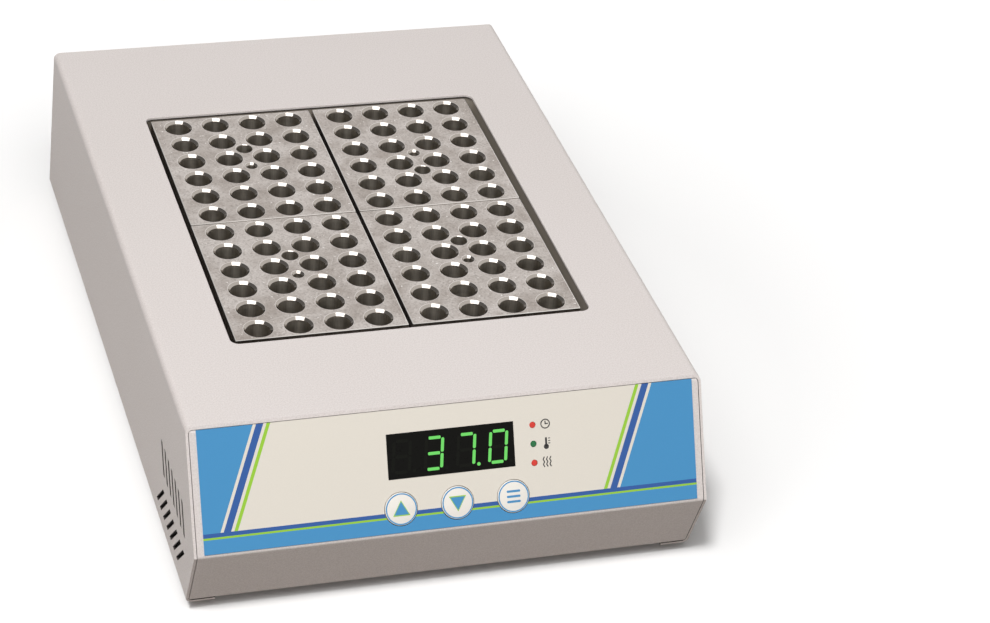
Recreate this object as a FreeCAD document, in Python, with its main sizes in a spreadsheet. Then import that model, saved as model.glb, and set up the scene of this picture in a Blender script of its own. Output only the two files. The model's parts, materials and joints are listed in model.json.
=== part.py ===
import FreeCAD, Part
import math
import os

import Sketcher
from FreeCAD import Placement, Rotation, Vector

# Dry bath incubator with four lift-out heat blocks, in millimetres.
# Frame: floor under the feet at z = 0, front panel towards -Y, centre of the outline at x = y = 0.

SIZES = (
    # Case
    ("case_width", 232.0, "over the two side sheets"),
    ("case_depth", 361.0, "nose of the front to the foot of the rear panel"),
    ("case_height", 84.5, "bottom flange to top sheet"),
    ("foot_height", 5.5, "floor to bottom flange"),
    ("nose_height", 40.0, "floor to the bend below the front panel"),
    ("front_setback", 26.5, "top front edge behind the nose"),
    ("toe_setback", 13.5, "bottom front edge behind the nose"),
    ("back_setback", 12.5, "top rear edge ahead of the bottom one"),
    ("sheet_gauge", 1.2, "steel of the cover and the pan"),
    ("cover_bend", 3.0, "outer radius of the cover's long bends"),
    ("pan_bend", 2.0, "outer radius of the pan's bends"),
    ("seam_gap", 0.3, "between the cover and the pan"),
    ("cover_flange", 13.0, "cover's bottom flange, from its outer face"),
    ("pan_flange", 11.0, "pan's top flanges under the cover"),
    # Opening for the blocks
    ("opening_width", 166.6, "across"),
    ("opening_depth", 196.0, "front to back"),
    ("opening_corner", 4.0, "corner radius"),
    ("opening_shift", 0.5, "its centre behind the case's centre"),
    # Side vents
    ("vent_count", 7, "slots in each row"),
    ("vent_pitch", 7.2, "slot to slot"),
    ("vent_width", 3.0, "slot along the case"),
    ("vent_front", 162.0, "foremost slot top ahead of the centre"),
    ("low_vent_top", 28.3, "above the floor"),
    ("low_vent_rise", 13.7, "slot height"),
    ("low_vent_lean", 12.6, "bottom end behind the top end"),
    ("high_vent_top", 51.0, "above the floor"),
    ("high_vent_rise", 14.5, "slot height"),
    ("high_vent_lean", 7.2, "bottom end ahead of the top end"),
    # Floor vents
    ("floor_vent_count", 7, "slots in each row"),
    ("floor_vent_pitch", 11.0, "slot to slot"),
    ("floor_vent_width", 4.0, "slot"),
    ("floor_vent_length", 30.0, "slot"),
    ("floor_vent_inset", 46.5, "row centre from the case's front and rear"),
    ("floor_vent_shift", -38.0, "rear row's centre"),
    # Heat blocks
    ("block_width", 79.5, "across"),
    ("block_depth", 95.2, "front to back"),
    ("block_height", 50.0, "tall"),
    ("block_edge", 0.5, "chamfer of the outer edges"),
    ("block_seam_x", 1.6, "between left and right blocks"),
    ("block_seam_y", 0.3, "between front and rear blocks"),
    ("block_shift_x", -0.6, "blocks' centre from the opening's centre"),
    ("block_shift_y", 0.7, "blocks' centre from the opening's centre"),
    ("block_drop", 0.9, "block top below the cover's top"),
    ("block_seat", 0.1, "under a block"),
    ("well_columns", 4, "wells across"),
    ("well_rows", 6, "wells front to back"),
    ("well_pitch_x", 18.4, "across"),
    ("well_pitch_y", 15.875, "front to back"),
    ("well_bore", 11.2, "diameter"),
    ("well_depth", 44.0, "wells and thermometer bore, from the block's top"),
    ("probe_bore", 7.6, "thermometer bore's diameter"),
    ("probe_mouth", 8.2, "thermometer bore's countersink"),
    ("lift_bore", 4.2, "tapping bore of the lifting thread"),
    ("lift_mouth", 5.6, "countersink of the lifting thread"),
    ("lift_depth", 14.0, "lifting thread"),
    # Tray and heater
    ("tray_margin", 0.6, "tray wall outside the cover's opening"),
    ("tray_gauge", 1.0, "tray sheet"),
    ("tray_rim", 7.0, "outward rim"),
    ("tray_drop", 1.0, "rim below the cover sheet"),
    ("plate_thickness", 8.0, "heater plate"),
    ("heater_thickness", 1.5, "flat heater under the plate"),
    ("heater_inset", 6.0, "heater inside the plate's edge"),
    ("clamp_thickness", 2.0, "clamp plate under the heater"),
    ("stack_screw", 4.0, "screws up through the posts into the heater plate"),
    ("stack_thread", 6.0, "their length in the heater plate"),
    ("wool_thickness", 10.0, "insulation"),
    ("wool_gap", 0.4, "insulation to its neighbours"),
    ("post_diameter", 9.0, "support posts"),
    ("post_inset", 14.0, "post centre inside the plate's edge"),
    ("probe_diameter", 4.0, "temperature probe"),
    ("probe_length", 40.0, "temperature probe"),
    ("probe_out", 14.0, "probe outside the heater plate"),
    ("probe_fit", 0.1, "probe to its bore"),
    ("cutout_diameter", 17.0, "thermal cut-out"),
    ("cutout_height", 7.0, "thermal cut-out"),
    ("cutout_room", 2.4, "insulation to the thermal cut-out"),
    ("tab_width", 4.8, "flat terminals"),
    ("tab_thickness", 0.8, "flat terminals"),
    ("tab_length", 6.0, "flat terminals"),
    # Front panel, in the panel's own plane
    ("label_side", 4.5, "front overlay from the case's sides"),
    ("label_top", 1.6, "overlay below the panel's top edge"),
    ("label_bottom", 1.2, "overlay above the nose"),
    ("label_thickness", 0.4, "overlay"),
    ("window_width", 57.4, "display window"),
    ("window_height", 20.0, "display window"),
    ("window_shift", -0.6, "window centre from the panel's centre"),
    ("window_drop", 22.0, "window centre below the panel's top edge"),
    ("window_thickness", 1.4, "display window"),
    ("window_fit", 0.15, "window to its opening"),
    ("key_diameter", 14.4, "keys"),
    ("key_pitch", 25.4, "key to key"),
    ("key_shift", 0.9, "middle key from the panel's centre"),
    ("key_drop", 45.0, "key row below the panel's top edge"),
    ("key_proud", 0.45, "key face above the overlay"),
    ("key_travel", 0.4, "stroke"),
    ("key_fit", 0.35, "key to the panel and the overlay"),
    ("key_flange", 1.2, "retaining flange wider than the key, and its thickness"),
    ("key_stem", 5.0, "diameter"),
    ("lamp_diameter", 2.6, "indicator lamps"),
    ("lamp_shift", 36.8, "lamps from the panel's centre"),
    ("lamp_drop", 23.0, "middle lamp below the panel's top edge"),
    ("lamp_pitch", 8.4, "lamp to lamp"),
    ("lamp_fit", 0.15, "lamp to its hole"),
    # Control board behind the front panel
    ("board_length", 190.0, "across"),
    ("board_height", 46.0, "up the panel"),
    ("board_thickness", 1.6, "circuit boards"),
    ("board_drop", 29.0, "board centre below the panel's top edge"),
    ("board_standoff", 12.0, "panel sheet to board"),
    ("board_screw", 3.0, "screw diameter"),
    ("board_corner", 4.5, "screw centre from the board's edges"),
    ("spacer_diameter", 6.0, "board spacers"),
    ("display_depth", 11.0, "display module"),
    ("display_rim", 0.4, "module inside the window opening"),
    ("switch_size", 6.0, "key switch, square"),
    ("switch_height", 3.6, "key switch"),
    ("switch_button", 3.4, "key switch button diameter"),
    ("button_height", 1.0, "key switch button"),
    ("switch_gap", 0.05, "stem to button at the bottom of its stroke"),
    # Rear panel, in the panel's own plane
    ("inlet_inset", 44.0, "inlet centre from the case's side"),
    ("inlet_height", 40.0, "inlet centre up the rear panel"),
    ("inlet_width", 27.0, "inlet body"),
    ("inlet_tall", 32.0, "inlet body"),
    ("inlet_depth", 25.0, "inlet body behind the panel"),
    ("inlet_flange", 50.0, "flange width"),
    ("inlet_border", 2.0, "flange above and below the body"),
    ("flange_thickness", 2.5, "inlet and switch flanges"),
    ("inlet_screw_span", 40.0, "screw to screw"),
    ("socket_width", 24.2, "plug recess"),
    ("socket_height", 16.4, "plug recess"),
    ("socket_depth", 17.0, "plug recess"),
    ("socket_corner", 5.0, "its two cut corners, beside the earth pin"),
    ("socket_rise", 5.4, "recess centre above the inlet's centre"),
    ("pin_width", 4.0, "mains pins"),
    ("pin_thickness", 2.0, "mains pins"),
    ("pin_length", 14.0, "mains pins"),
    ("pin_span", 14.0, "live to neutral"),
    ("pin_offset", 4.0, "earth pin above the others"),
    ("cutout_fit", 0.3, "inlet and switch to their cut-outs"),
    ("drawer_width", 22.0, "fuse drawer"),
    ("drawer_height", 7.0, "fuse drawer"),
    ("drawer_length", 20.0, "fuse drawer"),
    ("drawer_sink", 9.6, "drawer centre below the inlet's centre"),
    ("drawer_fit", 0.35, "drawer to its slot"),
    ("drawer_proud", 1.2, "drawer front beyond the flange"),
    ("drawer_wall", 0.9, "floor under the fuse"),
    ("fuse_diameter", 5.0, "mains fuse"),
    ("fuse_length", 20.0, "mains fuse"),
    ("fuse_fit", 0.2, "fuse to its pocket"),
    ("switch_pitch", 40.0, "inlet centre to power switch centre"),
    ("bezel_width", 15.0, "power switch"),
    ("bezel_height", 22.0, "power switch"),
    ("bezel_border", 1.2, "bezel wider than the switch body"),
    ("switch_wall", 2.2, "bezel round the rocker"),
    ("switch_depth", 18.0, "power switch behind the panel"),
    ("rocker_well", 8.0, "rocker opening behind the panel"),
    ("rocker_fit", 0.4, "rocker to the bezel"),
    ("rocker_tilt", 10.0, "degrees either side of level; its top end stands out at rest"),
    ("rocker_axis", 3.0, "axis below the bezel's face"),
    ("rocker_reach", 7.8, "rocker ends from its axis"),
    ("rocker_rise", 4.6, "rocker ends above its axis"),
    ("rocker_dip", 2.6, "rocker middle above its axis"),
    ("rocker_root", 4.0, "rocker below its axis"),
    ("rocker_root_reach", 5.0, "rocker root from its axis"),
    ("pivot_diameter", 2.4, "rocker pivot"),
    ("pivot_length", 0.7, "pivot in each side of the bezel"),
    ("pivot_fit", 0.05, "pivot to its hole"),
    ("pivot_float", 0.2, "free length past each end of the pivot"),
    # Power electronics behind the heater
    ("power_board_width", 100.0, "across"),
    ("power_board_side", 14.0, "board from the case's side"),
    ("power_board_front", 7.5, "board from the insulation"),
    ("power_board_rear", 14.5, "board from the foot of the rear panel"),
    ("power_standoff", 8.0, "pan to board"),
    ("transformer_x", -26.0, "its centre from the board's centre"),
    ("transformer_width", 38.0, "across"),
    ("transformer_margin", 8.0, "board's front and rear edges to the transformer"),
    ("transformer_height", 28.0, "tall"),
    ("sink_width", 34.0, "heat sink"),
    ("sink_share", 0.3, "heat sink's depth over the board's"),
    ("sink_height", 30.0, "heat sink"),
    ("sink_x", 22.0, "its centre from the board's centre"),
    ("sink_margin", 5.0, "board's rear edge to the heat sink"),
    ("sink_root", 3.0, "heat sink's back wall"),
    ("fin_count", 6, "heat sink fins"),
    ("fin_thickness", 1.6, "heat sink fins"),
    ("triac_width", 10.0, "triac"),
    ("triac_height", 15.0, "triac"),
    ("triac_thickness", 4.5, "triac"),
    ("triac_rise", 8.0, "triac above the board"),
    ("terminal_width", 30.0, "terminal block"),
    ("terminal_share", 0.2, "terminal block's depth over the board's"),
    ("terminal_height", 11.0, "terminal block"),
    ("terminal_margin", 2.0, "board's front edge to the terminal block"),
    # Feet and fixings
    ("foot_diameter", 18.0, "rubber feet at the top"),
    ("foot_toe", 15.0, "rubber feet at the floor"),
    ("foot_inset_x", 26.0, "foot centre from the case's sides"),
    ("foot_inset_y", 35.5, "foot centre from the case's front and rear"),
    ("foot_screw", 4.0, "screw diameter"),
    ("foot_sink", 3.0, "screw seat above the floor"),
    ("cover_screw", 3.0, "screw diameter"),
    ("cover_screw_inset", 8.0, "screw from the cover's outer face"),
    ("cover_screw_span", 120.0, "screw to screw along a side"),
    ("screw_fit", 0.4, "hole wider than its screw"),
    ("head_ratio", 1.9, "screw head diameter over thread diameter"),
    ("head_height", 2.0, "screw heads"),
    ("nut_height", 2.4, "nuts"),
    ("nut_ratio", 1.8, "nut across flats over thread diameter"),
    ("thread_proud", 1.0, "screw end past its nut"),
    ("thread_grip", 7.0, "board screws in their spacers"),
    ("thread_room", 1.0, "hole deeper than its screw"),
    ("cutter_run", 1.0, "cuts past the faces they start from"),
)

doc = FreeCAD.newDocument("dry_bath")
sheet = doc.addObject("Spreadsheet::Sheet", "sizes")
for row, (alias, size, meaning) in enumerate(SIZES, start=1):
    sheet.set(f"A{row}", str(size))
    sheet.setAlias(f"A{row}", alias)
    sheet.set(f"B{row}", meaning)
doc.recompute()


class Millimetres:
    """The sheet's cells by name."""

    def __getattr__(self, alias):
        return float(sheet.get(alias))


mm = Millimetres()
subparts = []


def keep(feature, name):
    """Names a finished sub-part."""
    feature.Label = name
    subparts.append(feature)
    return feature


def number(expression):
    return float(sheet.evalExpression(expression))


def check_step(feature, what):
    doc.recompute()
    if "Invalid" in feature.State or feature.Shape.isNull() or not feature.Shape.isValid():
        raise RuntimeError(f"{what} did not build")


# Expressions used by several sketches
HALF_DEPTH = "sizes.case_depth / 2"
HALF_WIDTH = "sizes.case_width / 2"
CASE_TOP = "(sizes.foot_height + sizes.case_height)"
FRONT_RISE = f"({CASE_TOP} - sizes.nose_height)"
TOE_DROP = "(sizes.nose_height - sizes.foot_height)"
PAN_DROP = "(sizes.sheet_gauge + sizes.seam_gap)"

# Heights that several pieces share
case_top = mm.foot_height + mm.case_height
pan_floor = mm.foot_height + 2 * mm.sheet_gauge
block_top = case_top - mm.block_drop
block_bottom = block_top - mm.block_height
well_floor = block_top - mm.well_depth
tray_floor = block_bottom - mm.block_seat
plate_top = tray_floor - mm.tray_gauge
heater_top = plate_top - mm.plate_thickness
clamp_top = heater_top - mm.heater_thickness
wool_top = clamp_top - mm.clamp_thickness
wool_bottom = wool_top - mm.wool_thickness
rim_top = case_top - mm.sheet_gauge - mm.tray_drop
tray_width = mm.opening_width + 2 * mm.tray_margin
tray_depth = mm.opening_depth + 2 * mm.tray_margin
plate_width = tray_width + 2 * mm.tray_gauge
plate_depth = tray_depth + 2 * mm.tray_gauge
tray_centre = Vector(0, mm.opening_shift, 0)

# Frame of the front panel: x across, y up the panel, z out of it, origin on its top edge
front_rise = case_top - mm.nose_height
front_slope = math.degrees(math.atan2(front_rise, mm.front_setback))
front_frame = Placement(
    Vector(0, -mm.case_depth / 2 + mm.front_setback, case_top), Rotation(Vector(1, 0, 0), front_slope)
)
front_length = math.hypot(front_rise, mm.front_setback)

# Frame of the rear panel: x towards -X, y up the panel, z out of it, origin on its bottom edge
rear_lean = math.degrees(math.atan2(mm.back_setback, mm.case_height))
rear_frame = Placement(
    Vector(0, mm.case_depth / 2, mm.foot_height),
    Rotation(Vector(0, 0, 1), 180) * Rotation(Vector(1, 0, 0), 90 - rear_lean),
)


def origin_feature(body, role):
    return next(item for item in body.Origin.OriginFeatures if item.Role == role)


def new_body(name, frame=Placement()):
    body = doc.addObject("PartDesign::Body", name)
    body.Placement = frame
    return body


def new_sketch(body, name, plane, lift="0", along="0"):
    """Sketch on an origin plane, lifted off it and moved along it by expressions."""
    sketch = body.newObject("Sketcher::SketchObject", name)
    sketch.AttachmentSupport = [(origin_feature(body, plane), "")]
    sketch.MapMode = "FlatFace"
    sketch.setExpression("AttachmentOffset.Base.z", lift)
    sketch.setExpression("AttachmentOffset.Base.x", along)
    return sketch


def tie(sketch, kind, geometry, point, expression):
    """Dimension from the sketch's origin to a point, driven by an expression."""
    index = sketch.addConstraint(
        Sketcher.Constraint(kind, -1, 1, geometry, point, number(expression))
    )
    sketch.setExpression(f"Constraints[{index}]", expression)


def draw_polygon(sketch, corners):
    """Closed outline through corners, each a pair of expressions."""
    spots = [Vector(number(x), number(y), 0) for x, y in corners]
    first = sketch.GeometryCount
    count = len(spots)
    for i in range(count):
        sketch.addGeometry(Part.LineSegment(spots[i], spots[(i + 1) % count]), False)
    for i in range(count):
        sketch.addConstraint(
            Sketcher.Constraint("Coincident", first + i, 2, first + (i + 1) % count, 1)
        )
    for i, (x, y) in enumerate(corners):
        tie(sketch, "DistanceX", first + i, 1, x)
        tie(sketch, "DistanceY", first + i, 1, y)


def draw_rectangle(sketch, width, height, x="0", y="0"):
    left, right = f"{x} - ({width}) / 2", f"{x} + ({width}) / 2"
    low, high = f"{y} - ({height}) / 2", f"{y} + ({height}) / 2"
    draw_polygon(sketch, ((left, low), (right, low), (right, high), (left, high)))


def draw_circle(sketch, diameter, x="0", y="0"):
    circle = Part.Circle(Vector(number(x), number(y), 0), Vector(0, 0, 1), number(diameter) / 2)
    index = sketch.addGeometry(circle, False)
    tie(sketch, "DistanceX", index, 3, x)
    tie(sketch, "DistanceY", index, 3, y)
    size = sketch.addConstraint(Sketcher.Constraint("Diameter", index, number(diameter)))
    sketch.setExpression(f"Constraints[{size}]", diameter)


def pad(body, sketch, length, symmetric=False):
    feature = body.newObject("PartDesign::Pad", f"{sketch.Name}_pad")
    feature.Profile = sketch
    feature.SideType = "Symmetric" if symmetric else "One side"
    feature.setExpression("Length", length)
    check_step(feature, feature.Name)
    return feature


def pocket(body, sketch, length=None, reverse=False):
    """Pocket to a length, or right through both ways when no length is given."""
    before = body.Shape.Volume
    feature = body.newObject("PartDesign::Pocket", f"{sketch.Name}_pocket")
    feature.Profile = sketch
    if length is None:
        feature.Type = "ThroughAll"
        feature.SideType = "Symmetric"
    else:
        feature.setExpression("Length", length)
        feature.Reversed = reverse
    check_step(feature, feature.Name)
    if body.Shape.Volume > before - 0.01:
        raise RuntimeError(f"{feature.Name} cuts nothing")
    return feature


def fillet(body, base, edges, radius):
    feature = body.newObject("PartDesign::Fillet", f"{base.Name}_fillet")
    feature.Base = (base, edges)
    feature.setExpression("Radius", radius)
    check_step(feature, feature.Name)
    return feature


def edges_where(shape, wanted):
    return [f"Edge{i}" for i, edge in enumerate(shape.Edges, start=1) if wanted(edge)]


def faces_where(shape, wanted):
    return [f"Face{i}" for i, face in enumerate(shape.Faces, start=1) if wanted(face)]


def edge_runs(edge, axis):
    """True for a straight edge along an axis."""
    if edge.Curve.TypeId != "Part::GeomLine":
        return False
    return abs(edge.tangentAt(edge.FirstParameter).dot(axis)) > 0.999


def middle(edge):
    return edge.BoundBox.Center


def at(frame, x, y, z, turn=Rotation()):
    """Place in a frame."""
    return frame.multiply(Placement(Vector(x, y, z), turn))


def box(name, width, depth, height, frame, x=0.0, y=0.0, z=0.0):
    """Block centred on x and y and standing on z, in a frame. Its sizes are expressions."""
    block = doc.addObject("Part::Box", name)
    block.setExpression("Length", width)
    block.setExpression("Width", depth)
    block.setExpression("Height", height)
    block.Placement = at(frame, x - number(width) / 2, y - number(depth) / 2, z)
    return block


def cylinder(name, diameter, height, frame, x=0.0, y=0.0, z=0.0, turn=Rotation()):
    """Cylinder standing on z at x and y, in a frame. Its sizes are expressions."""
    rod = doc.addObject("Part::Cylinder", name)
    rod.setExpression("Radius", f"({diameter}) / 2")
    rod.setExpression("Height", height)
    rod.Placement = at(frame, x, y, z, turn)
    return rod


def group(name, pieces):
    bundle = doc.addObject("Part::Compound", name)
    bundle.Links = pieces
    return bundle


def fuse(name, pieces):
    joined = doc.addObject("Part::MultiFuse", name)
    joined.Shapes = pieces
    return joined


def cut(name, base, cutters):
    result = doc.addObject("Part::Cut", name)
    result.Base = base
    result.Tool = cutters[0] if len(cutters) == 1 else group(f"{name}_cutters", cutters)
    return result


def round_edges(name, base, wanted, radius):
    """Fillet of the edges that pass a test."""
    doc.recompute()
    result = doc.addObject("Part::Fillet", name)
    result.Base = base
    result.Edges = [(int(edge[4:]), radius, radius) for edge in edges_where(base.Shape, wanted)]
    return result


def hex_prism(name, across_flats, height, frame, x=0.0, y=0.0, z=0.0):
    nut = doc.addObject("Part::Prism", name)
    nut.Polygon = 6
    nut.setExpression("Circumradius", f"({across_flats}) / 2 / cos(30 deg)")
    nut.setExpression("Height", height)
    nut.Placement = at(frame, x, y, z)
    return nut


def corners_of(half_x, half_y, centre_x=0.0, centre_y=0.0):
    return [(centre_x + i * half_x, centre_y + j * half_y) for i in (-1, 1) for j in (-1, 1)]


world = Placement()
foot_spots = corners_of(
    mm.case_width / 2 - mm.foot_inset_x, mm.case_depth / 2 - mm.foot_inset_y
)
inlet_x = mm.case_width / 2 - mm.inlet_inset
switch_x = inlet_x - mm.switch_pitch
post_spots = corners_of(
    plate_width / 2 - mm.post_inset, plate_depth / 2 - mm.post_inset, 0, mm.opening_shift
)
inlet_screw_spots = [
    (inlet_x + side * mm.inlet_screw_span / 2, mm.inlet_height) for side in (-1, 1)
]
cover_screw_spots = [
    (side * (mm.case_width / 2 - mm.cover_screw_inset), step * mm.cover_screw_span)
    for side in (-1, 1)
    for step in (-1, 0, 1)
]


def pan_head_screws(name, spots, diameter, length, seat):
    """Screws that enter upwards, their heads under the height of the seat."""
    screws = []
    for i, (x, y) in enumerate(spots):
        head = cylinder(
            f"{name}_head{i}", f"{diameter} * sizes.head_ratio", "sizes.head_height",
            world, x, y, seat - mm.head_height,
        )
        shank = cylinder(f"{name}_shank{i}", diameter, length, world, x, y, seat)
        screws.append(fuse(f"{name}_{i}", [head, shank]))
    return keep(group(name, screws), name)


# Cover: one sheet over the top and both sides, turned in under the pan
def make_top_cover():
    body = new_body("cover_sheet")
    side = new_sketch(body, "case_side", "YZ_Plane")
    draw_polygon(side, (
        (HALF_DEPTH, "sizes.foot_height"),
        (f"{HALF_DEPTH} - sizes.back_setback", CASE_TOP),
        (f"-{HALF_DEPTH} + sizes.front_setback", CASE_TOP),
        (f"-{HALF_DEPTH}", "sizes.nose_height"),
        (f"-{HALF_DEPTH} + sizes.toe_setback", "sizes.foot_height"),
    ))
    case = pad(body, side, "sizes.case_width", symmetric=True)
    along = Vector(0, 1, 0)
    bends = edges_where(case.Shape, lambda edge: edge_runs(edge, along))
    bent = fillet(body, case, bends, "sizes.cover_bend")

    inside = new_sketch(body, "case_inside", "XZ_Plane")
    draw_rectangle(
        inside, "sizes.case_width - 2 * sizes.sheet_gauge",
        "sizes.case_height - 2 * sizes.sheet_gauge",
        "0", "sizes.foot_height + sizes.case_height / 2",
    )
    hollow = pocket(body, inside)
    inner_height = (mm.foot_height + mm.sheet_gauge, case_top - mm.sheet_gauge)
    inner_bends = edges_where(
        hollow.Shape,
        lambda edge: edge_runs(edge, along)
        and abs(abs(middle(edge).x) - (mm.case_width / 2 - mm.sheet_gauge)) < 0.01
        and min(abs(middle(edge).z - z) for z in inner_height) < 0.01,
    )
    fillet(body, hollow, inner_bends, "sizes.cover_bend - sizes.sheet_gauge")

    under = new_sketch(
        body, "case_underside", "XY_Plane", "sizes.foot_height - sizes.cutter_run"
    )
    draw_rectangle(under, "sizes.case_width - 2 * sizes.cover_flange", "2 * sizes.case_depth")
    pocket(body, under, "sizes.sheet_gauge + 2 * sizes.cutter_run", reverse=True)

    mouth = new_sketch(body, "block_opening", "XY_Plane", CASE_TOP)
    draw_rectangle(
        mouth, "sizes.opening_width", "sizes.opening_depth", "0", "sizes.opening_shift"
    )
    opened = pocket(body, mouth, "2 * sizes.sheet_gauge")
    upright = Vector(0, 0, 1)
    corners = edges_where(
        opened.Shape,
        lambda edge: edge_runs(edge, upright)
        and abs(abs(middle(edge).x) - mm.opening_width / 2) < 0.01,
    )
    fillet(body, opened, corners, "sizes.opening_corner")

    vents = new_sketch(body, "side_vents", "YZ_Plane")
    for front, top, rise, lean in (
        ("-sizes.vent_front", "sizes.low_vent_top", "sizes.low_vent_rise", "sizes.low_vent_lean"),
        (
            "-sizes.vent_front + sizes.high_vent_lean", "sizes.high_vent_top",
            "sizes.high_vent_rise", "-sizes.high_vent_lean",
        ),
    ):
        rear = f"{front} + sizes.vent_width"
        draw_polygon(vents, (
            (front, top), (rear, top),
            (f"{rear} + {lean}", f"{top} - {rise}"), (f"{front} + {lean}", f"{top} - {rise}"),
        ))
    slots = pocket(body, vents)
    row = body.newObject("PartDesign::LinearPattern", "vent_rows")
    row.Originals = [slots]
    row.Direction = (origin_feature(body, "Y_Axis"), [""])
    row.Mode = "Spacing"
    row.setExpression("Offset", "sizes.vent_pitch")
    row.setExpression("Occurrences", "sizes.vent_count")
    body.Tip = row
    check_step(row, "vent rows")

    doc.recompute()
    holes = [
        cylinder(
            f"flange_hole{i}", "sizes.cover_screw + sizes.screw_fit", "3 * sizes.sheet_gauge",
            world, x, y, mm.foot_height - mm.sheet_gauge,
        )
        for i, (x, y) in enumerate(cover_screw_spots)
    ]
    keep(cut("top_cover", body, holes), "top_cover")


# Pan: floor, both front faces and the rear panel bent from one sheet
def make_base_pan():
    body = new_body("pan_sheet")
    side = new_sketch(body, "pan_side", "YZ_Plane")
    low = "(sizes.foot_height + sizes.sheet_gauge)"
    high = f"({CASE_TOP} - {PAN_DROP})"
    draw_polygon(side, (
        (f"{HALF_DEPTH} - sizes.back_setback * sizes.sheet_gauge / sizes.case_height", low),
        (f"{HALF_DEPTH} - sizes.back_setback * (1 - {PAN_DROP} / sizes.case_height)", high),
        (f"-{HALF_DEPTH} + sizes.front_setback * (1 - {PAN_DROP} / {FRONT_RISE})", high),
        (f"-{HALF_DEPTH}", "sizes.nose_height"),
        (f"-{HALF_DEPTH} + sizes.toe_setback * (1 - sizes.sheet_gauge / {TOE_DROP})", low),
    ))
    pan_width = "(sizes.case_width - 2 * sizes.sheet_gauge - 2 * sizes.seam_gap)"
    solid = pad(body, side, pan_width, symmetric=True)
    across = Vector(1, 0, 0)
    bent = fillet(
        body, solid, edges_where(solid.Shape, lambda edge: edge_runs(edge, across)),
        "sizes.pan_bend",
    )
    shell = body.newObject("PartDesign::Thickness", "pan_shell")
    open_sides = faces_where(bent.Shape, lambda face: abs(face.normalAt(0, 0).x) > 0.999)
    shell.Base = (bent, open_sides)
    shell.Reversed = True
    shell.setExpression("Value", "sizes.sheet_gauge")
    check_step(shell, "pan shell")

    mouth = new_sketch(body, "pan_mouth", "XY_Plane", high)
    front_lip = f"(-{HALF_DEPTH} + sizes.front_setback + sizes.pan_flange)"
    rear_lip = f"({HALF_DEPTH} - sizes.back_setback - sizes.pan_flange)"
    half = f"({pan_width} / 2 + sizes.cutter_run)"
    draw_polygon(mouth, (
        (f"-{half}", front_lip), (half, front_lip), (half, rear_lip), (f"-{half}", rear_lip),
    ))
    pocket(body, mouth, "2 * sizes.sheet_gauge")

    vents = new_sketch(body, "floor_vents", "XY_Plane", f"{low} - sizes.cutter_run")
    first_vent = "sizes.floor_vent_pitch * (sizes.floor_vent_count - 1) / 2"
    for x, y in (
        (f"-{first_vent}", f"-({HALF_DEPTH} - sizes.floor_vent_inset)"),
        (f"sizes.floor_vent_shift - {first_vent}", f"({HALF_DEPTH} - sizes.floor_vent_inset)"),
    ):
        draw_rectangle(vents, "sizes.floor_vent_width", "sizes.floor_vent_length", x, y)
    slots = pocket(body, vents, "sizes.sheet_gauge + 2 * sizes.cutter_run", reverse=True)
    row = body.newObject("PartDesign::LinearPattern", "floor_vent_rows")
    row.Originals = [slots]
    row.Direction = (origin_feature(body, "X_Axis"), [""])
    row.Mode = "Spacing"
    row.setExpression("Offset", "sizes.floor_vent_pitch")
    row.setExpression("Occurrences", "sizes.floor_vent_count")
    body.Tip = row
    check_step(row, "floor vent rows")

    room = box(
        "cover_room", pan_width, "2 * sizes.case_depth", f"{high} - {low}", world,
        0, 0, number(low),
    )
    along = Vector(0, 1, 0)
    rounded = round_edges(
        "cover_room_rounded", room, lambda edge: edge_runs(edge, along),
        mm.cover_bend - mm.sheet_gauge - mm.seam_gap,
    )
    trimmed = doc.addObject("Part::Common", "pan_trimmed")
    trimmed.Base = body
    trimmed.Tool = rounded

    deep = "4 * sizes.sheet_gauge"
    below = -2.5 * mm.sheet_gauge
    holes = [box(
        "window_cut", "sizes.window_width", "sizes.window_height", deep,
        front_frame, mm.window_shift, -mm.window_drop, below,
    )]
    for i, x in enumerate(key_columns):
        holes.append(cylinder(
            f"key_cut{i}", "sizes.key_diameter + 2 * sizes.key_fit", deep,
            front_frame, x, -mm.key_drop, below,
        ))
    for i, y in enumerate(lamp_rows):
        holes.append(cylinder(
            f"lamp_cut{i}", "sizes.lamp_diameter + 2 * sizes.lamp_fit", deep,
            front_frame, mm.lamp_shift, y, below,
        ))
    holes.append(box(
        "inlet_cut", "sizes.inlet_width + 2 * sizes.cutout_fit",
        "sizes.inlet_tall + 2 * sizes.cutout_fit", deep,
        rear_frame, inlet_x, mm.inlet_height, below,
    ))
    for i, (x, y) in enumerate(inlet_screw_spots):
        holes.append(cylinder(
            f"inlet_screw_cut{i}", "sizes.cover_screw + sizes.screw_fit", deep,
            rear_frame, x, y, below,
        ))
    holes.append(box(
        "switch_cut", "sizes.bezel_width - 2 * sizes.bezel_border + 2 * sizes.cutout_fit",
        "sizes.bezel_height - 2 * sizes.bezel_border + 2 * sizes.cutout_fit", deep,
        rear_frame, switch_x, mm.inlet_height, below,
    ))
    floor_holes = (
        ("foot_hole", foot_spots, "sizes.foot_screw"),
        ("post_hole", post_spots, "sizes.stack_screw"),
        ("side_hole", cover_screw_spots, "sizes.cover_screw"),
        ("power_hole", power_spots, "sizes.board_screw"),
    )
    for name, spots, diameter in floor_holes:
        for i, (x, y) in enumerate(spots):
            holes.append(cylinder(
                f"{name}{i}", f"{diameter} + sizes.screw_fit", deep,
                world, x, y, mm.foot_height - mm.sheet_gauge,
            ))
    keep(cut("base_pan", trimmed, holes), "base_pan")


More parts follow.
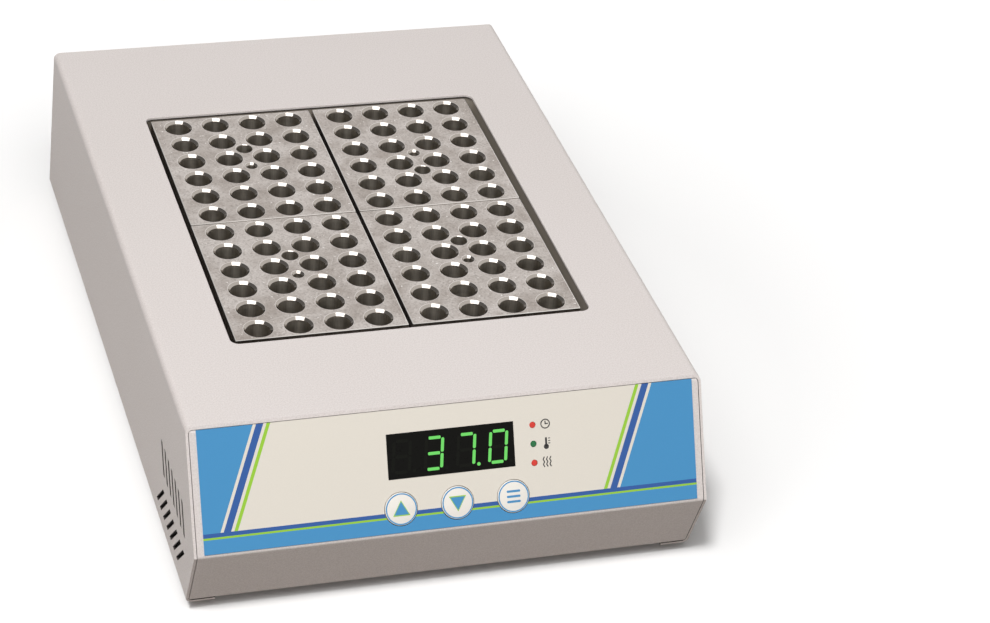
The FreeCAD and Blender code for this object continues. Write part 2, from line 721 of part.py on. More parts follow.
# Heat block: a floor, and on it drilled aluminium with a thermometer bore and a lifting thread
def make_heat_block(spot, x, y, turned):
    name = f"heat_block_{spot}"
    turn = Rotation(Vector(0, 0, 1), 180 if turned else 0)
    floor = new_body(
        f"block_floor_{spot}", Placement(Vector(x, y, block_bottom), turn)
    )
    floor_plan = new_sketch(floor, f"{name}_floor_plan", "XY_Plane")
    draw_rectangle(floor_plan, "sizes.block_width", "sizes.block_depth")
    pad(floor, floor_plan, "sizes.block_height - sizes.well_depth")
    keep(floor, f"block_floor_{spot}")

    body = new_body(name, Placement(Vector(x, y, well_floor), turn))
    plan = new_sketch(body, f"{name}_plan", "XY_Plane")
    draw_rectangle(plan, "sizes.block_width", "sizes.block_depth")
    billet = pad(body, plan, "sizes.well_depth")
    edges = body.newObject("PartDesign::Chamfer", f"{name}_edges")
    edges.Base = (billet, faces_where(billet.Shape, lambda face: face.normalAt(0, 0).z > 0.999))
    edges.setExpression("Size", "sizes.block_edge")
    check_step(edges, f"{name} edges")

    top = "sizes.well_depth"

    def drill(label, diameter, mouth, depth, across, along):
        """Countersunk bore, revolved about its own axis."""
        sketch = new_sketch(body, label, "XZ_Plane", f"-({along})", across)
        sink = f"({mouth} - {diameter}) / 2"
        draw_polygon(sketch, (
            ("0", f"{top} - {depth}"),
            (f"{diameter} / 2", f"{top} - {depth}"),
            (f"{diameter} / 2", f"{top} - {sink}"),
            (f"{mouth} / 2 + sizes.cutter_run", f"{top} + sizes.cutter_run"),
            ("0", f"{top} + sizes.cutter_run"),
        ))
        before = body.Shape.Volume
        bore = body.newObject("PartDesign::Groove", f"{label}_bore")
        bore.Profile = sketch
        bore.ReferenceAxis = (sketch, ["V_Axis"])
        bore.Angle = 360
        check_step(bore, label)
        if body.Shape.Volume > before - 0.01:
            raise RuntimeError(f"{label} cuts nothing")
        return bore

    mouths = new_sketch(body, f"{name}_well", "XY_Plane", top)
    draw_circle(
        mouths, "sizes.well_bore",
        "-sizes.well_pitch_x * (sizes.well_columns - 1) / 2",
        "-sizes.well_pitch_y * (sizes.well_rows - 1) / 2",
    )
    well = pocket(body, mouths, f"{top} + sizes.cutter_run")
    grid = body.newObject("PartDesign::MultiTransform", f"{name}_wells")
    grid.Originals = [well]
    steps = []
    for axis, pitch, count in (
        ("X_Axis", "sizes.well_pitch_x", "sizes.well_columns"),
        ("Y_Axis", "sizes.well_pitch_y", "sizes.well_rows"),
    ):
        step = body.newObject("PartDesign::LinearPattern", f"{name}_{axis}")
        step.Direction = (origin_feature(body, axis), [""])
        step.Mode = "Spacing"
        step.setExpression("Offset", pitch)
        step.setExpression("Occurrences", count)
        steps.append(step)
    grid.Transformations = steps
    body.Tip = grid
    check_step(grid, f"{name} wells")
    drill(
        f"{name}_thermometer", "sizes.probe_bore", "sizes.probe_mouth",
        f"({top} + sizes.cutter_run)", "0", "sizes.well_pitch_y",
    )
    drill(
        f"{name}_lift", "sizes.lift_bore", "sizes.lift_mouth",
        "sizes.lift_depth", "0", "0",
    )
    keep(body, name)


# Tray: thin folded liner that the blocks stand in
def make_tray():
    body = new_body("bath_tray", Placement(tray_centre, Rotation()))
    outer = new_sketch(body, "tray_outside", "XY_Plane", f"{plate_top}")
    wide = "(sizes.opening_width + 2 * sizes.tray_margin + 2 * sizes.tray_gauge)"
    deep = "(sizes.opening_depth + 2 * sizes.tray_margin + 2 * sizes.tray_gauge)"
    draw_rectangle(outer, wide, deep)
    pad(body, outer, f"{rim_top - plate_top}")
    rim = new_sketch(body, "tray_rim_plan", "XY_Plane", f"{rim_top} - sizes.tray_gauge")
    draw_rectangle(rim, f"{wide} + 2 * sizes.tray_rim", f"{deep} + 2 * sizes.tray_rim")
    pad(body, rim, "sizes.tray_gauge")
    inner = new_sketch(body, "tray_inside", "XY_Plane", f"{rim_top}")
    draw_rectangle(
        inner, "sizes.opening_width + 2 * sizes.tray_margin",
        "sizes.opening_depth + 2 * sizes.tray_margin",
    )
    base = pocket(body, inner, f"{rim_top - tray_floor}")
    upright = Vector(0, 0, 1)
    for half_width, radius in (
        (tray_width / 2, "sizes.opening_corner"),
        (plate_width / 2, "sizes.opening_corner + sizes.tray_gauge"),
    ):
        corners = edges_where(
            base.Shape,
            lambda edge: edge_runs(edge, upright)
            and abs(abs(middle(edge).x) - half_width) < 0.01,
        )
        base = fillet(body, base, corners, radius)
    keep(body, "bath_tray")


front_columns = (-1, 0, 1)
key_columns = [mm.key_shift + i * mm.key_pitch for i in front_columns]
lamp_rows = [-mm.lamp_drop - i * mm.lamp_pitch for i in front_columns]
wrap_rear = mm.opening_shift + plate_depth / 2 + mm.wool_gap + mm.wool_thickness
power_board_front = wrap_rear + mm.power_board_front
power_board_rear = mm.case_depth / 2 - mm.power_board_rear
power_board_depth = power_board_rear - power_board_front
power_board_x = mm.case_width / 2 - mm.power_board_side - mm.power_board_width / 2
power_board_y = (power_board_front + power_board_rear) / 2
power_spots = corners_of(
    mm.power_board_width / 2 - mm.board_corner, power_board_depth / 2 - mm.board_corner,
    power_board_x, power_board_y,
)
board_spots = corners_of(
    mm.board_length / 2 - mm.board_corner, mm.board_height / 2 - mm.board_corner,
    0, -mm.board_drop,
)
board_face = -mm.sheet_gauge - mm.board_standoff
key_rest = -mm.sheet_gauge - mm.key_fit - mm.key_flange
button_top = board_face + mm.switch_height + mm.button_height
stem_end = button_top + mm.switch_gap + mm.key_travel


# Front panel: overlay film, display window, lamps and keys
def make_front_panel():
    film = box(
        "overlay_film", "sizes.case_width - 2 * sizes.label_side",
        f"{front_length} - sizes.label_top - sizes.label_bottom", "sizes.label_thickness",
        front_frame, 0, -(front_length + mm.label_top - mm.label_bottom) / 2, 0,
    )
    deep = "3 * sizes.label_thickness"
    below = -mm.label_thickness
    openings = [box(
        "film_window", "sizes.window_width", "sizes.window_height", deep,
        front_frame, mm.window_shift, -mm.window_drop, below,
    )]
    for i, x in enumerate(key_columns):
        openings.append(cylinder(
            f"film_key{i}", "sizes.key_diameter + 2 * sizes.key_fit", deep,
            front_frame, x, -mm.key_drop, below,
        ))
    for i, y in enumerate(lamp_rows):
        openings.append(cylinder(
            f"film_lamp{i}", "sizes.lamp_diameter + 2 * sizes.lamp_fit", deep,
            front_frame, mm.lamp_shift, y, below,
        ))
    keep(cut("front_overlay", film, openings), "front_overlay")

    keep(box(
        "display_window", "sizes.window_width - 2 * sizes.window_fit",
        "sizes.window_height - 2 * sizes.window_fit", "sizes.window_thickness",
        front_frame, mm.window_shift, -mm.window_drop, mm.label_thickness - mm.window_thickness,
    ), "display_window")
    keep(box(
        "display_module", "sizes.window_width - 2 * sizes.display_rim",
        "sizes.window_height - 2 * sizes.display_rim", "sizes.display_depth",
        front_frame, mm.window_shift, -mm.window_drop, board_face,
    ), "display_module")
    lamps = [
        cylinder(
            f"lamp{i}", "sizes.lamp_diameter",
            "sizes.board_standoff + sizes.sheet_gauge + sizes.label_thickness",
            front_frame, mm.lamp_shift, y, board_face,
        )
        for i, y in enumerate(lamp_rows)
    ]
    keep(group("indicator_lamps", lamps), "indicator_lamps")


def make_key(name, x):
    """Key cap with its retaining flange and the stem that reaches its switch."""
    y = -mm.key_drop
    cap = cylinder(
        f"{name}_cap", "sizes.key_diameter",
        "sizes.sheet_gauge + sizes.key_fit + sizes.key_flange + sizes.label_thickness"
        " + sizes.key_proud",
        front_frame, x, y, key_rest,
    )
    flange = cylinder(
        f"{name}_flange", "sizes.key_diameter + 2 * sizes.key_flange", "sizes.key_flange",
        front_frame, x, y, key_rest,
    )
    stem = cylinder(
        f"{name}_stem", "sizes.key_stem", f"{key_rest - stem_end}", front_frame, x, y, stem_end
    )
    keep(fuse(name, [cap, flange, stem]), name)


# Control board on four spacers behind the front panel
def make_control_board():
    blank = box(
        "control_blank", "sizes.board_length", "sizes.board_height", "sizes.board_thickness",
        front_frame, 0, -mm.board_drop, board_face - mm.board_thickness,
    )
    hole = "sizes.board_screw + sizes.screw_fit"
    holes, spacers, screws = [], [], []
    back = board_face - mm.board_thickness
    for i, (x, y) in enumerate(board_spots):
        holes.append(cylinder(
            f"board_hole{i}", hole, "3 * sizes.board_thickness",
            front_frame, x, y, back - mm.board_thickness,
        ))
        tube = cylinder(
            f"spacer{i}", "sizes.spacer_diameter", "sizes.board_standoff",
            front_frame, x, y, board_face,
        )
        bore = cylinder(
            f"spacer_bore{i}", hole, "sizes.board_standoff", front_frame, x, y, board_face
        )
        spacers.append(cut(f"spacer_tube{i}", tube, [bore]))
        head = cylinder(
            f"board_head{i}", "sizes.board_screw * sizes.head_ratio", "sizes.head_height",
            front_frame, x, y, back - mm.head_height,
        )
        shank = cylinder(
            f"board_shank{i}", "sizes.board_screw",
            "sizes.board_thickness + sizes.thread_grip", front_frame, x, y, back,
        )
        screws.append(fuse(f"board_screw{i}", [head, shank]))
    keep(cut("control_board", blank, holes), "control_board")
    keep(group("board_spacers", spacers), "board_spacers")
    keep(group("board_screws", screws), "board_screws")
    switches = []
    for i, x in enumerate(key_columns):
        case = box(
            f"switch_case{i}", "sizes.switch_size", "sizes.switch_size", "sizes.switch_height",
            front_frame, x, -mm.key_drop, board_face,
        )
        button = cylinder(
            f"switch_button{i}", "sizes.switch_button", "sizes.button_height",
            front_frame, x, -mm.key_drop, board_face + mm.switch_height,
        )
        switches.append(fuse(f"key_switch{i}", [case, button]))
    keep(group("key_switches", switches), "key_switches")


# Heater: plate, flat element and clamp plate, held by long screws through four posts
def make_heater():
    wide, deep = f"{plate_width}", f"{plate_depth}"
    y = mm.opening_shift
    hole = "sizes.stack_screw + sizes.screw_fit"
    plate = box("plate_blank", wide, deep, "sizes.plate_thickness", world, 0, y, heater_top)
    front_edge = y - plate_depth / 2
    probe_height = heater_top + mm.plate_thickness / 2
    towards_back = Rotation(Vector(1, 0, 0), -90)
    probe_hole = cylinder(
        "probe_hole", "sizes.probe_diameter + 2 * sizes.probe_fit",
        "sizes.probe_length + sizes.thread_room",
        world, 0, front_edge - mm.probe_out, probe_height, towards_back,
    )
    threads = [
        cylinder(
            f"plate_thread{i}", hole,
            "sizes.stack_thread + sizes.thread_room + sizes.cutter_run",
            world, px, py, heater_top - mm.cutter_run,
        )
        for i, (px, py) in enumerate(post_spots)
    ]
    keep(cut("heater_plate", plate, [probe_hole] + threads), "heater_plate")
    keep(cylinder(
        "temperature_probe", "sizes.probe_diameter", "sizes.probe_length",
        world, 0, front_edge - mm.probe_out, probe_height, towards_back,
    ), "temperature_probe")

    mat = box(
        "heater_blank", f"{wide} - 2 * sizes.heater_inset", f"{deep} - 2 * sizes.heater_inset",
        "sizes.heater_thickness", world, 0, y, clamp_top,
    )
    mat_holes = [
        cylinder(f"mat_hole{i}", "sizes.post_diameter", "3 * sizes.heater_thickness",
                 world, px, py, clamp_top - mm.heater_thickness)
        for i, (px, py) in enumerate(post_spots)
    ]
    keep(cut("flat_heater", mat, mat_holes), "flat_heater")
    clamp = box("clamp_blank", wide, deep, "sizes.clamp_thickness", world, 0, y, wool_top)
    clamp_holes = [
        cylinder(f"clamp_hole{i}", hole, "3 * sizes.clamp_thickness",
                 world, px, py, wool_top - mm.clamp_thickness)
        for i, (px, py) in enumerate(post_spots)
    ]
    keep(cut("clamp_plate", clamp, clamp_holes), "clamp_plate")

    posts = []
    for i, (px, py) in enumerate(post_spots):
        height = f"{wool_top - pan_floor}"
        rod = cylinder(f"post_rod{i}", "sizes.post_diameter", height, world, px, py, pan_floor)
        bore = cylinder(f"post_bore{i}", hole, height, world, px, py, pan_floor)
        posts.append(cut(f"post{i}", rod, [bore]))
    keep(group("support_posts", posts), "support_posts")
    under_pan = mm.foot_height + mm.sheet_gauge
    pan_head_screws(
        "stack_screws", post_spots, "sizes.stack_screw",
        f"{heater_top - under_pan} + sizes.stack_thread", under_pan,
    )

    through_wool = "sizes.wool_thickness + 2 * sizes.cutter_run"
    pad_blank = box("wool_blank", wide, deep, "sizes.wool_thickness", world, 0, y, wool_bottom)
    pad_holes = [
        cylinder(f"wool_hole{i}", "sizes.post_diameter + 2 * sizes.wool_gap",
                 through_wool, world, px, py, wool_bottom - mm.cutter_run)
        for i, (px, py) in enumerate(post_spots)
    ]
    pad_holes.append(cylinder(
        "cutout_hole", "sizes.cutout_diameter + 2 * sizes.cutout_room", through_wool,
        world, 0, y, wool_bottom - mm.cutter_run,
    ))
    keep(cut("insulation_pad", pad_blank, pad_holes), "insulation_pad")
    rise = f"{rim_top - mm.tray_gauge - mm.wool_gap - wool_bottom}"
    wrap = box(
        "wrap_outer", f"{wide} + 2 * sizes.wool_gap + 2 * sizes.wool_thickness",
        f"{deep} + 2 * sizes.wool_gap + 2 * sizes.wool_thickness", rise,
        world, 0, y, wool_bottom,
    )
    core = box(
        "wrap_inner", f"{wide} + 2 * sizes.wool_gap", f"{deep} + 2 * sizes.wool_gap", rise,
        world, 0, y, wool_bottom,
    )
    lead_hole = cylinder(
        "lead_hole", "sizes.probe_diameter + 2 * sizes.wool_gap", "2 * sizes.wool_thickness",
        world, 0, front_edge - 1.5 * mm.wool_thickness, probe_height, towards_back,
    )
    keep(cut("insulation_wrap", wrap, [core, lead_hole]), "insulation_wrap")

    case = cylinder(
        "cutout_case", "sizes.cutout_diameter", "sizes.cutout_height",
        world, 0, y, wool_top - mm.cutout_height,
    )
    tabs = [
        box(f"cutout_tab{i}", "sizes.tab_thickness", "sizes.tab_width", "sizes.tab_length",
            world, side * mm.cutout_diameter / 4, y, wool_top - mm.cutout_height - mm.tab_length)
        for i, side in enumerate((-1, 1))
    ]
    keep(fuse("thermal_cutout", [case] + tabs), "thermal_cutout")


# Mains inlet with its fuse drawer, on the rear panel
def make_inlet():
    x, y = inlet_x, mm.inlet_height
    face = mm.flange_thickness
    flange = box(
        "inlet_flange_plate", "sizes.inlet_flange", "sizes.inlet_tall + 2 * sizes.inlet_border",
        "sizes.flange_thickness", rear_frame, x, y, 0,
    )
    shell = box(
        "inlet_shell", "sizes.inlet_width", "sizes.inlet_tall", "sizes.inlet_depth",
        rear_frame, x, y, -mm.inlet_depth,
    )
    recess = new_body(
        "plug_recess", at(rear_frame, x, y + mm.socket_rise, face - mm.socket_depth)
    )
    mouth = new_sketch(recess, "plug_outline", "XY_Plane")
    half_wide, half_tall = "sizes.socket_width / 2", "sizes.socket_height / 2"
    draw_polygon(mouth, (
        (f"-{half_wide}", f"-{half_tall}"), (half_wide, f"-{half_tall}"),
        (half_wide, f"{half_tall} - sizes.socket_corner"),
        (f"{half_wide} - sizes.socket_corner", half_tall),
        (f"-{half_wide} + sizes.socket_corner", half_tall),
        (f"-{half_wide}", f"{half_tall} - sizes.socket_corner"),
    ))
    pad(recess, mouth, "sizes.socket_depth + sizes.cutter_run")
    slot = box(
        "drawer_slot", "sizes.drawer_width + 2 * sizes.drawer_fit",
        "sizes.drawer_height + 2 * sizes.drawer_fit",
        "sizes.drawer_length + sizes.cutter_run",
        rear_frame, x, y - mm.drawer_sink, face - mm.drawer_length,
    )
    holes = [
        cylinder(f"flange_screw_hole{i}", "sizes.cover_screw + sizes.screw_fit",
                 "3 * sizes.flange_thickness", rear_frame, sx, sy, -face)
        for i, (sx, sy) in enumerate(inlet_screw_spots)
    ]
    keep(cut("power_inlet", fuse("inlet_case", [flange, shell]), [recess, slot] + holes),
         "power_inlet")
    pins = []
    for i, (side, lift) in enumerate(((-0.5, -0.5), (0.5, -0.5), (0, 0.5))):
        pins.append(box(
            f"mains_pin{i}", "sizes.pin_thickness", "sizes.pin_width", "sizes.pin_length",
            rear_frame, x + side * mm.pin_span, y + mm.socket_rise + lift * mm.pin_offset,
            face - mm.socket_depth,
        ))
    keep(group("inlet_pins", pins), "inlet_pins")

    screws, nuts = [], []
    for i, (sx, sy) in enumerate(inlet_screw_spots):
        head = cylinder(
            f"inlet_head{i}", "sizes.cover_screw * sizes.head_ratio", "sizes.head_height",
            rear_frame, sx, sy, face,
        )
        reach = (
            "sizes.flange_thickness + sizes.sheet_gauge + sizes.nut_height + sizes.thread_proud"
        )
        shank = cylinder(
            f"inlet_shank{i}", "sizes.cover_screw", reach, rear_frame, sx, sy,
            face - number(reach),
        )
        screws.append(fuse(f"inlet_screw{i}", [head, shank]))
        blank = hex_prism(
            f"inlet_nut_blank{i}", "sizes.cover_screw * sizes.nut_ratio", "sizes.nut_height",
            rear_frame, sx, sy, -mm.sheet_gauge - mm.nut_height,
        )
        thread = cylinder(
            f"inlet_thread{i}", "sizes.cover_screw + sizes.screw_fit", "sizes.nut_height",
            rear_frame, sx, sy, -mm.sheet_gauge - mm.nut_height,
        )
        nuts.append(cut(f"inlet_nut{i}", blank, [thread]))
    keep(group("inlet_screws", screws), "inlet_screws")
    keep(group("inlet_nuts", nuts), "inlet_nuts")

    inner_end = face + mm.drawer_proud - mm.drawer_length
    tongue = box(
        "drawer_tongue", "sizes.drawer_width", "sizes.drawer_height", "sizes.drawer_length",
        rear_frame, x, y - mm.drawer_sink, inner_end,
    )
    pocket_floor = y - mm.drawer_sink - mm.drawer_height / 2 + mm.drawer_wall
    fuse_pocket = box(
        "fuse_pocket", "sizes.fuse_length + 2 * sizes.fuse_fit", "sizes.drawer_height",
        "sizes.fuse_diameter + 2 * sizes.fuse_fit",
        rear_frame, x, pocket_floor + mm.drawer_height / 2, inner_end + mm.drawer_wall,
    )
    keep(cut("fuse_drawer", tongue, [fuse_pocket]), "fuse_drawer")
    keep(cylinder(
        "mains_fuse", "sizes.fuse_diameter", "sizes.fuse_length",
        rear_frame, x - mm.fuse_length / 2,
        pocket_floor + mm.fuse_fit + mm.fuse_diameter / 2,
        inner_end + mm.drawer_wall + mm.fuse_fit + mm.fuse_diameter / 2,
        Rotation(Vector(0, 1, 0), 90),
    ), "mains_fuse")


# Power switch: bezel and body with a rocker on pivots
def make_power_switch():
    x, y = switch_x, mm.inlet_height
    face = mm.flange_thickness
    axis_height = face - mm.rocker_axis
    bezel = box(
        "bezel", "sizes.bezel_width", "sizes.bezel_height", "sizes.flange_thickness",
        rear_frame, x, y, 0,
    )
    shell = box(
        "switch_shell", "sizes.bezel_width - 2 * sizes.bezel_border",
        "sizes.bezel_height - 2 * sizes.bezel_border", "sizes.switch_depth",
        rear_frame, x, y, -mm.switch_depth,
    )
    well = box(
        "rocker_opening", "sizes.bezel_width - 2 * sizes.switch_wall",
        "sizes.bezel_height - 2 * sizes.switch_wall",
        "sizes.rocker_well + 2 * sizes.flange_thickness",
        rear_frame, x, y, -mm.rocker_well,
    )
    across = Rotation(Vector(0, 1, 0), 90)
    inside = mm.bezel_width - 2 * mm.switch_wall
    hole_length = f"{inside} + 2 * (sizes.pivot_length + sizes.pivot_float)"
    pivot_hole = cylinder(
        "pivot_hole", "sizes.pivot_diameter + 2 * sizes.pivot_fit", hole_length,
        rear_frame, x - number(hole_length) / 2, y, axis_height, across,
    )
    keep(cut("switch_body", fuse("switch_case", [bezel, shell]), [well, pivot_hole]),
         "switch_body")

    place = at(rear_frame, x, y, axis_height, Rotation(Vector(1, 0, 0), mm.rocker_tilt))
    body = new_body("rocker_body", place)
    side = new_sketch(body, "rocker_side", "YZ_Plane")
    draw_polygon(side, (
        ("sizes.rocker_reach", "sizes.rocker_rise"), ("0", "sizes.rocker_dip"),
        ("-sizes.rocker_reach", "sizes.rocker_rise"),
        ("-sizes.rocker_root_reach", "-sizes.rocker_root"),
        ("sizes.rocker_root_reach", "-sizes.rocker_root"),
    ))
    wide = "(sizes.bezel_width - 2 * sizes.switch_wall - 2 * sizes.rocker_fit)"
    pad(body, side, wide, symmetric=True)
    pivot = new_sketch(body, "rocker_pivot", "YZ_Plane")
    draw_circle(pivot, "sizes.pivot_diameter")
    pad(body, pivot, f"{inside} + 2 * sizes.pivot_length", symmetric=True)
    keep(body, "power_rocker")


# Power board behind the heater
def make_power_board():
    x, y = power_board_x, power_board_y
    under = pan_floor + mm.power_standoff
    face = under + mm.board_thickness
    blank = box(
        "power_blank", "sizes.power_board_width", f"{power_board_depth}",
        "sizes.board_thickness", world, x, y, under,
    )
    hole = "sizes.board_screw + sizes.screw_fit"
    holes, spacers, screws = [], [], []
    for i, (px, py) in enumerate(power_spots):
        holes.append(cylinder(
            f"power_board_hole{i}", hole, "3 * sizes.board_thickness",
            world, px, py, under - mm.board_thickness,
        ))
        tube = cylinder(
            f"power_spacer{i}", "sizes.spacer_diameter", "sizes.power_standoff",
            world, px, py, pan_floor,
        )
        bore = cylinder(
            f"power_spacer_bore{i}", hole, "sizes.power_standoff", world, px, py, pan_floor
        )
        spacers.append(cut(f"power_spacer_tube{i}", tube, [bore]))
        head = cylinder(
            f"power_head{i}", "sizes.board_screw * sizes.head_ratio", "sizes.head_height",
            world, px, py, face,
        )
        shank = cylinder(
            f"power_shank{i}", "sizes.board_screw", "sizes.board_thickness + sizes.thread_grip",
            world, px, py, under - mm.thread_grip,
        )
        screws.append(fuse(f"power_screw{i}", [head, shank]))
    keep(cut("power_board", blank, holes), "power_board")
    keep(group("power_board_spacers", spacers), "power_board_spacers")
    keep(group("power_board_screws", screws), "power_board_screws")
    keep(box(
        "transformer", "sizes.transformer_width",
        f"{power_board_depth} - 2 * sizes.transformer_margin",
        "sizes.transformer_height", world, x + mm.transformer_x, y, face,
    ), "transformer")

    sink_depth = mm.sink_share * power_board_depth
    sink_x = x + mm.sink_x
    sink_y = power_board_rear - mm.sink_margin - sink_depth / 2
    pitch = (mm.sink_width - mm.fin_thickness) / (mm.fin_count - 1)
    fins = [
        box(f"fin{i}", "sizes.fin_thickness", f"{sink_depth}", "sizes.sink_height",
            world, sink_x - mm.sink_width / 2 + mm.fin_thickness / 2 + i * pitch, sink_y, face)
        for i in range(int(mm.fin_count))
    ]
    back_y = sink_y - sink_depth / 2 + mm.sink_root / 2
    back = box(
        "sink_back", "sizes.sink_width", "sizes.sink_root", "sizes.sink_height",
        world, sink_x, back_y, face,
    )
    keep(fuse("heat_sink", [back] + fins), "heat_sink")
    keep(box(
        "triac", "sizes.triac_width", "sizes.triac_thickness", "sizes.triac_height",
        world, sink_x, back_y - mm.sink_root / 2 - mm.triac_thickness / 2, face + mm.triac_rise,
    ), "triac")
    terminal_depth = mm.terminal_share * power_board_depth
    keep(box(
        "terminal_block", "sizes.terminal_width", f"{terminal_depth}",
        "sizes.terminal_height", world, sink_x,
        power_board_front + mm.terminal_margin + terminal_depth / 2, face,
    ), "terminal_block")


# Feet and the screws from below
def make_feet():
    feet, screws, nuts = [], [], []
    under_pan = mm.foot_height + mm.sheet_gauge
    height = "sizes.foot_height + sizes.sheet_gauge"
    for i, (x, y) in enumerate(foot_spots):
        cone = doc.addObject("Part::Cone", f"foot_cone{i}")
        cone.setExpression("Radius1", "sizes.foot_toe / 2")
        cone.setExpression("Radius2", "sizes.foot_diameter / 2")
        cone.setExpression("Height", height)
        cone.Placement = at(world, x, y, 0)
        seat = cylinder(
            f"foot_seat{i}", "sizes.foot_screw * sizes.head_ratio + 2 * sizes.screw_fit",
            "sizes.foot_sink + sizes.cutter_run", world, x, y, -mm.cutter_run,
        )
        bore = cylinder(
            f"foot_bore{i}", "sizes.foot_screw + sizes.screw_fit", height, world, x, y, 0
        )
        feet.append(cut(f"foot{i}", cone, [seat, bore]))
        head = cylinder(
            f"foot_head{i}", "sizes.foot_screw * sizes.head_ratio", "sizes.head_height",
            world, x, y, mm.foot_sink - mm.head_height,
        )
        reach = f"{pan_floor - mm.foot_sink} + sizes.nut_height + sizes.thread_proud"
        shank = cylinder(f"foot_shank{i}", "sizes.foot_screw", reach, world, x, y, mm.foot_sink)
        screws.append(fuse(f"foot_screw_{i}", [head, shank]))
        blank = hex_prism(
            f"foot_nut_blank{i}", "sizes.foot_screw * sizes.nut_ratio", "sizes.nut_height",
            world, x, y, pan_floor,
        )
        thread = cylinder(
            f"foot_thread{i}", "sizes.foot_screw + sizes.screw_fit", "sizes.nut_height",
            world, x, y, pan_floor,
        )
        nuts.append(cut(f"foot_nut{i}", blank, [thread]))
    keep(group("rubber_feet", feet), "rubber_feet")
    keep(group("foot_screws", screws), "foot_screws")
    keep(group("foot_nuts", nuts), "foot_nuts")

    cover_nuts = []
    for i, (x, y) in enumerate(cover_screw_spots):
        blank = hex_prism(
            f"cover_nut_blank{i}", "sizes.cover_screw * sizes.nut_ratio", "sizes.nut_height",
            world, x, y, pan_floor,
        )
        thread = cylinder(
            f"cover_thread{i}", "sizes.cover_screw + sizes.screw_fit", "sizes.nut_height",
            world, x, y, pan_floor,
        )
        cover_nuts.append(cut(f"cover_nut{i}", blank, [thread]))
    keep(group("cover_nuts", cover_nuts), "cover_nuts")
    pan_head_screws(
        "cover_screws", cover_screw_spots, "sizes.cover_screw",
        "2 * sizes.sheet_gauge + sizes.nut_height + sizes.thread_proud", mm.foot_height,
    )


make_top_cover()
make_base_pan()
make_front_panel()
for key_name, key_x in zip(("up_key", "down_key", "mode_key"), key_columns):
    make_key(key_name, key_x)
make_control_board()
block_step_x = (mm.block_width + mm.block_seam_x) / 2
block_step_y = (mm.block_depth + mm.block_seam_y) / 2
for end, row_sign in (("rear", 1), ("front", -1)):
    for hand, column_sign in (("left", -1), ("right", 1)):
        make_heat_block(
            f"{end}_{hand}",
            mm.block_shift_x + column_sign * block_step_x,
            mm.opening_shift + mm.block_shift_y + row_sign * block_step_y,
            turned=(end, hand) == ("rear", "right"),
        )
make_tray()
make_heater()
make_inlet()
make_power_switch()
make_power_board()
make_feet()

doc.recompute()
faulty = [item.Label for item in doc.Objects if {"Invalid", "Error"} & set(item.State)]
faulty += [item.Label for item in subparts if item.Shape.isNull() or not item.Shape.isValid()]
if faulty:
    raise RuntimeError("these did not build: " + ", ".join(faulty))
os.makedirs("parts", exist_ok=True)
for item in subparts:
    item.Shape.exportStep(f"parts/{item.Label}.step")
print(len(subparts), "sub-parts written")
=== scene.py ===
"""Looks of a dry bath incubator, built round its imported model."""

import json
import math

import bmesh
import bpy
from mathutils import Matrix, Vector


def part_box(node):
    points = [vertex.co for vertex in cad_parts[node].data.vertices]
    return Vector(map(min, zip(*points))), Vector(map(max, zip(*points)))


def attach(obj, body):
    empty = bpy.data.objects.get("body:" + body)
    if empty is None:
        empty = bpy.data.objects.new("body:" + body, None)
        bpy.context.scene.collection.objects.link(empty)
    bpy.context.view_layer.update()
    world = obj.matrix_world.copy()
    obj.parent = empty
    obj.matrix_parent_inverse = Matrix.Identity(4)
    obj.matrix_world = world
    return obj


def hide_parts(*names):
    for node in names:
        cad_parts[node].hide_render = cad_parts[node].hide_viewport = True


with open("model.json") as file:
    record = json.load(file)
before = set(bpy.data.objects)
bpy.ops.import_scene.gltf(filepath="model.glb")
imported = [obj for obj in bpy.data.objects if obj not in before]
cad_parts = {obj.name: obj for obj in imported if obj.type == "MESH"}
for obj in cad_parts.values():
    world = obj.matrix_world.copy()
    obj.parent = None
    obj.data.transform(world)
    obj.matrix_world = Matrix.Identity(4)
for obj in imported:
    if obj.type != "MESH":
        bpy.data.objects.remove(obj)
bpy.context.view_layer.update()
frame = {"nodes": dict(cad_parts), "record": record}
nodes = frame["nodes"]
MM = 0.001
MERGE = 0.002 * MM
HOUSING = "housing"


# Colours, written as a screen shows them
def screen(red, green, blue):
    """Linear colour of a screen colour from 0 to 255."""
    def linear(value):
        value /= 255
        return value / 12.92 if value <= 0.04045 else ((value + 0.055) / 1.055) ** 2.4
    return (linear(red), linear(green), linear(blue), 1.0)


COAT = screen(220, 213, 210)
COAT_DARK = screen(205, 197, 193)
CREAM = screen(226, 220, 209)
PRINT_BLUE = screen(69, 143, 194)
PRINT_DARK = screen(44, 88, 156)
PRINT_GREEN = screen(150, 200, 58)
DIGIT_GREEN = screen(92, 186, 84)


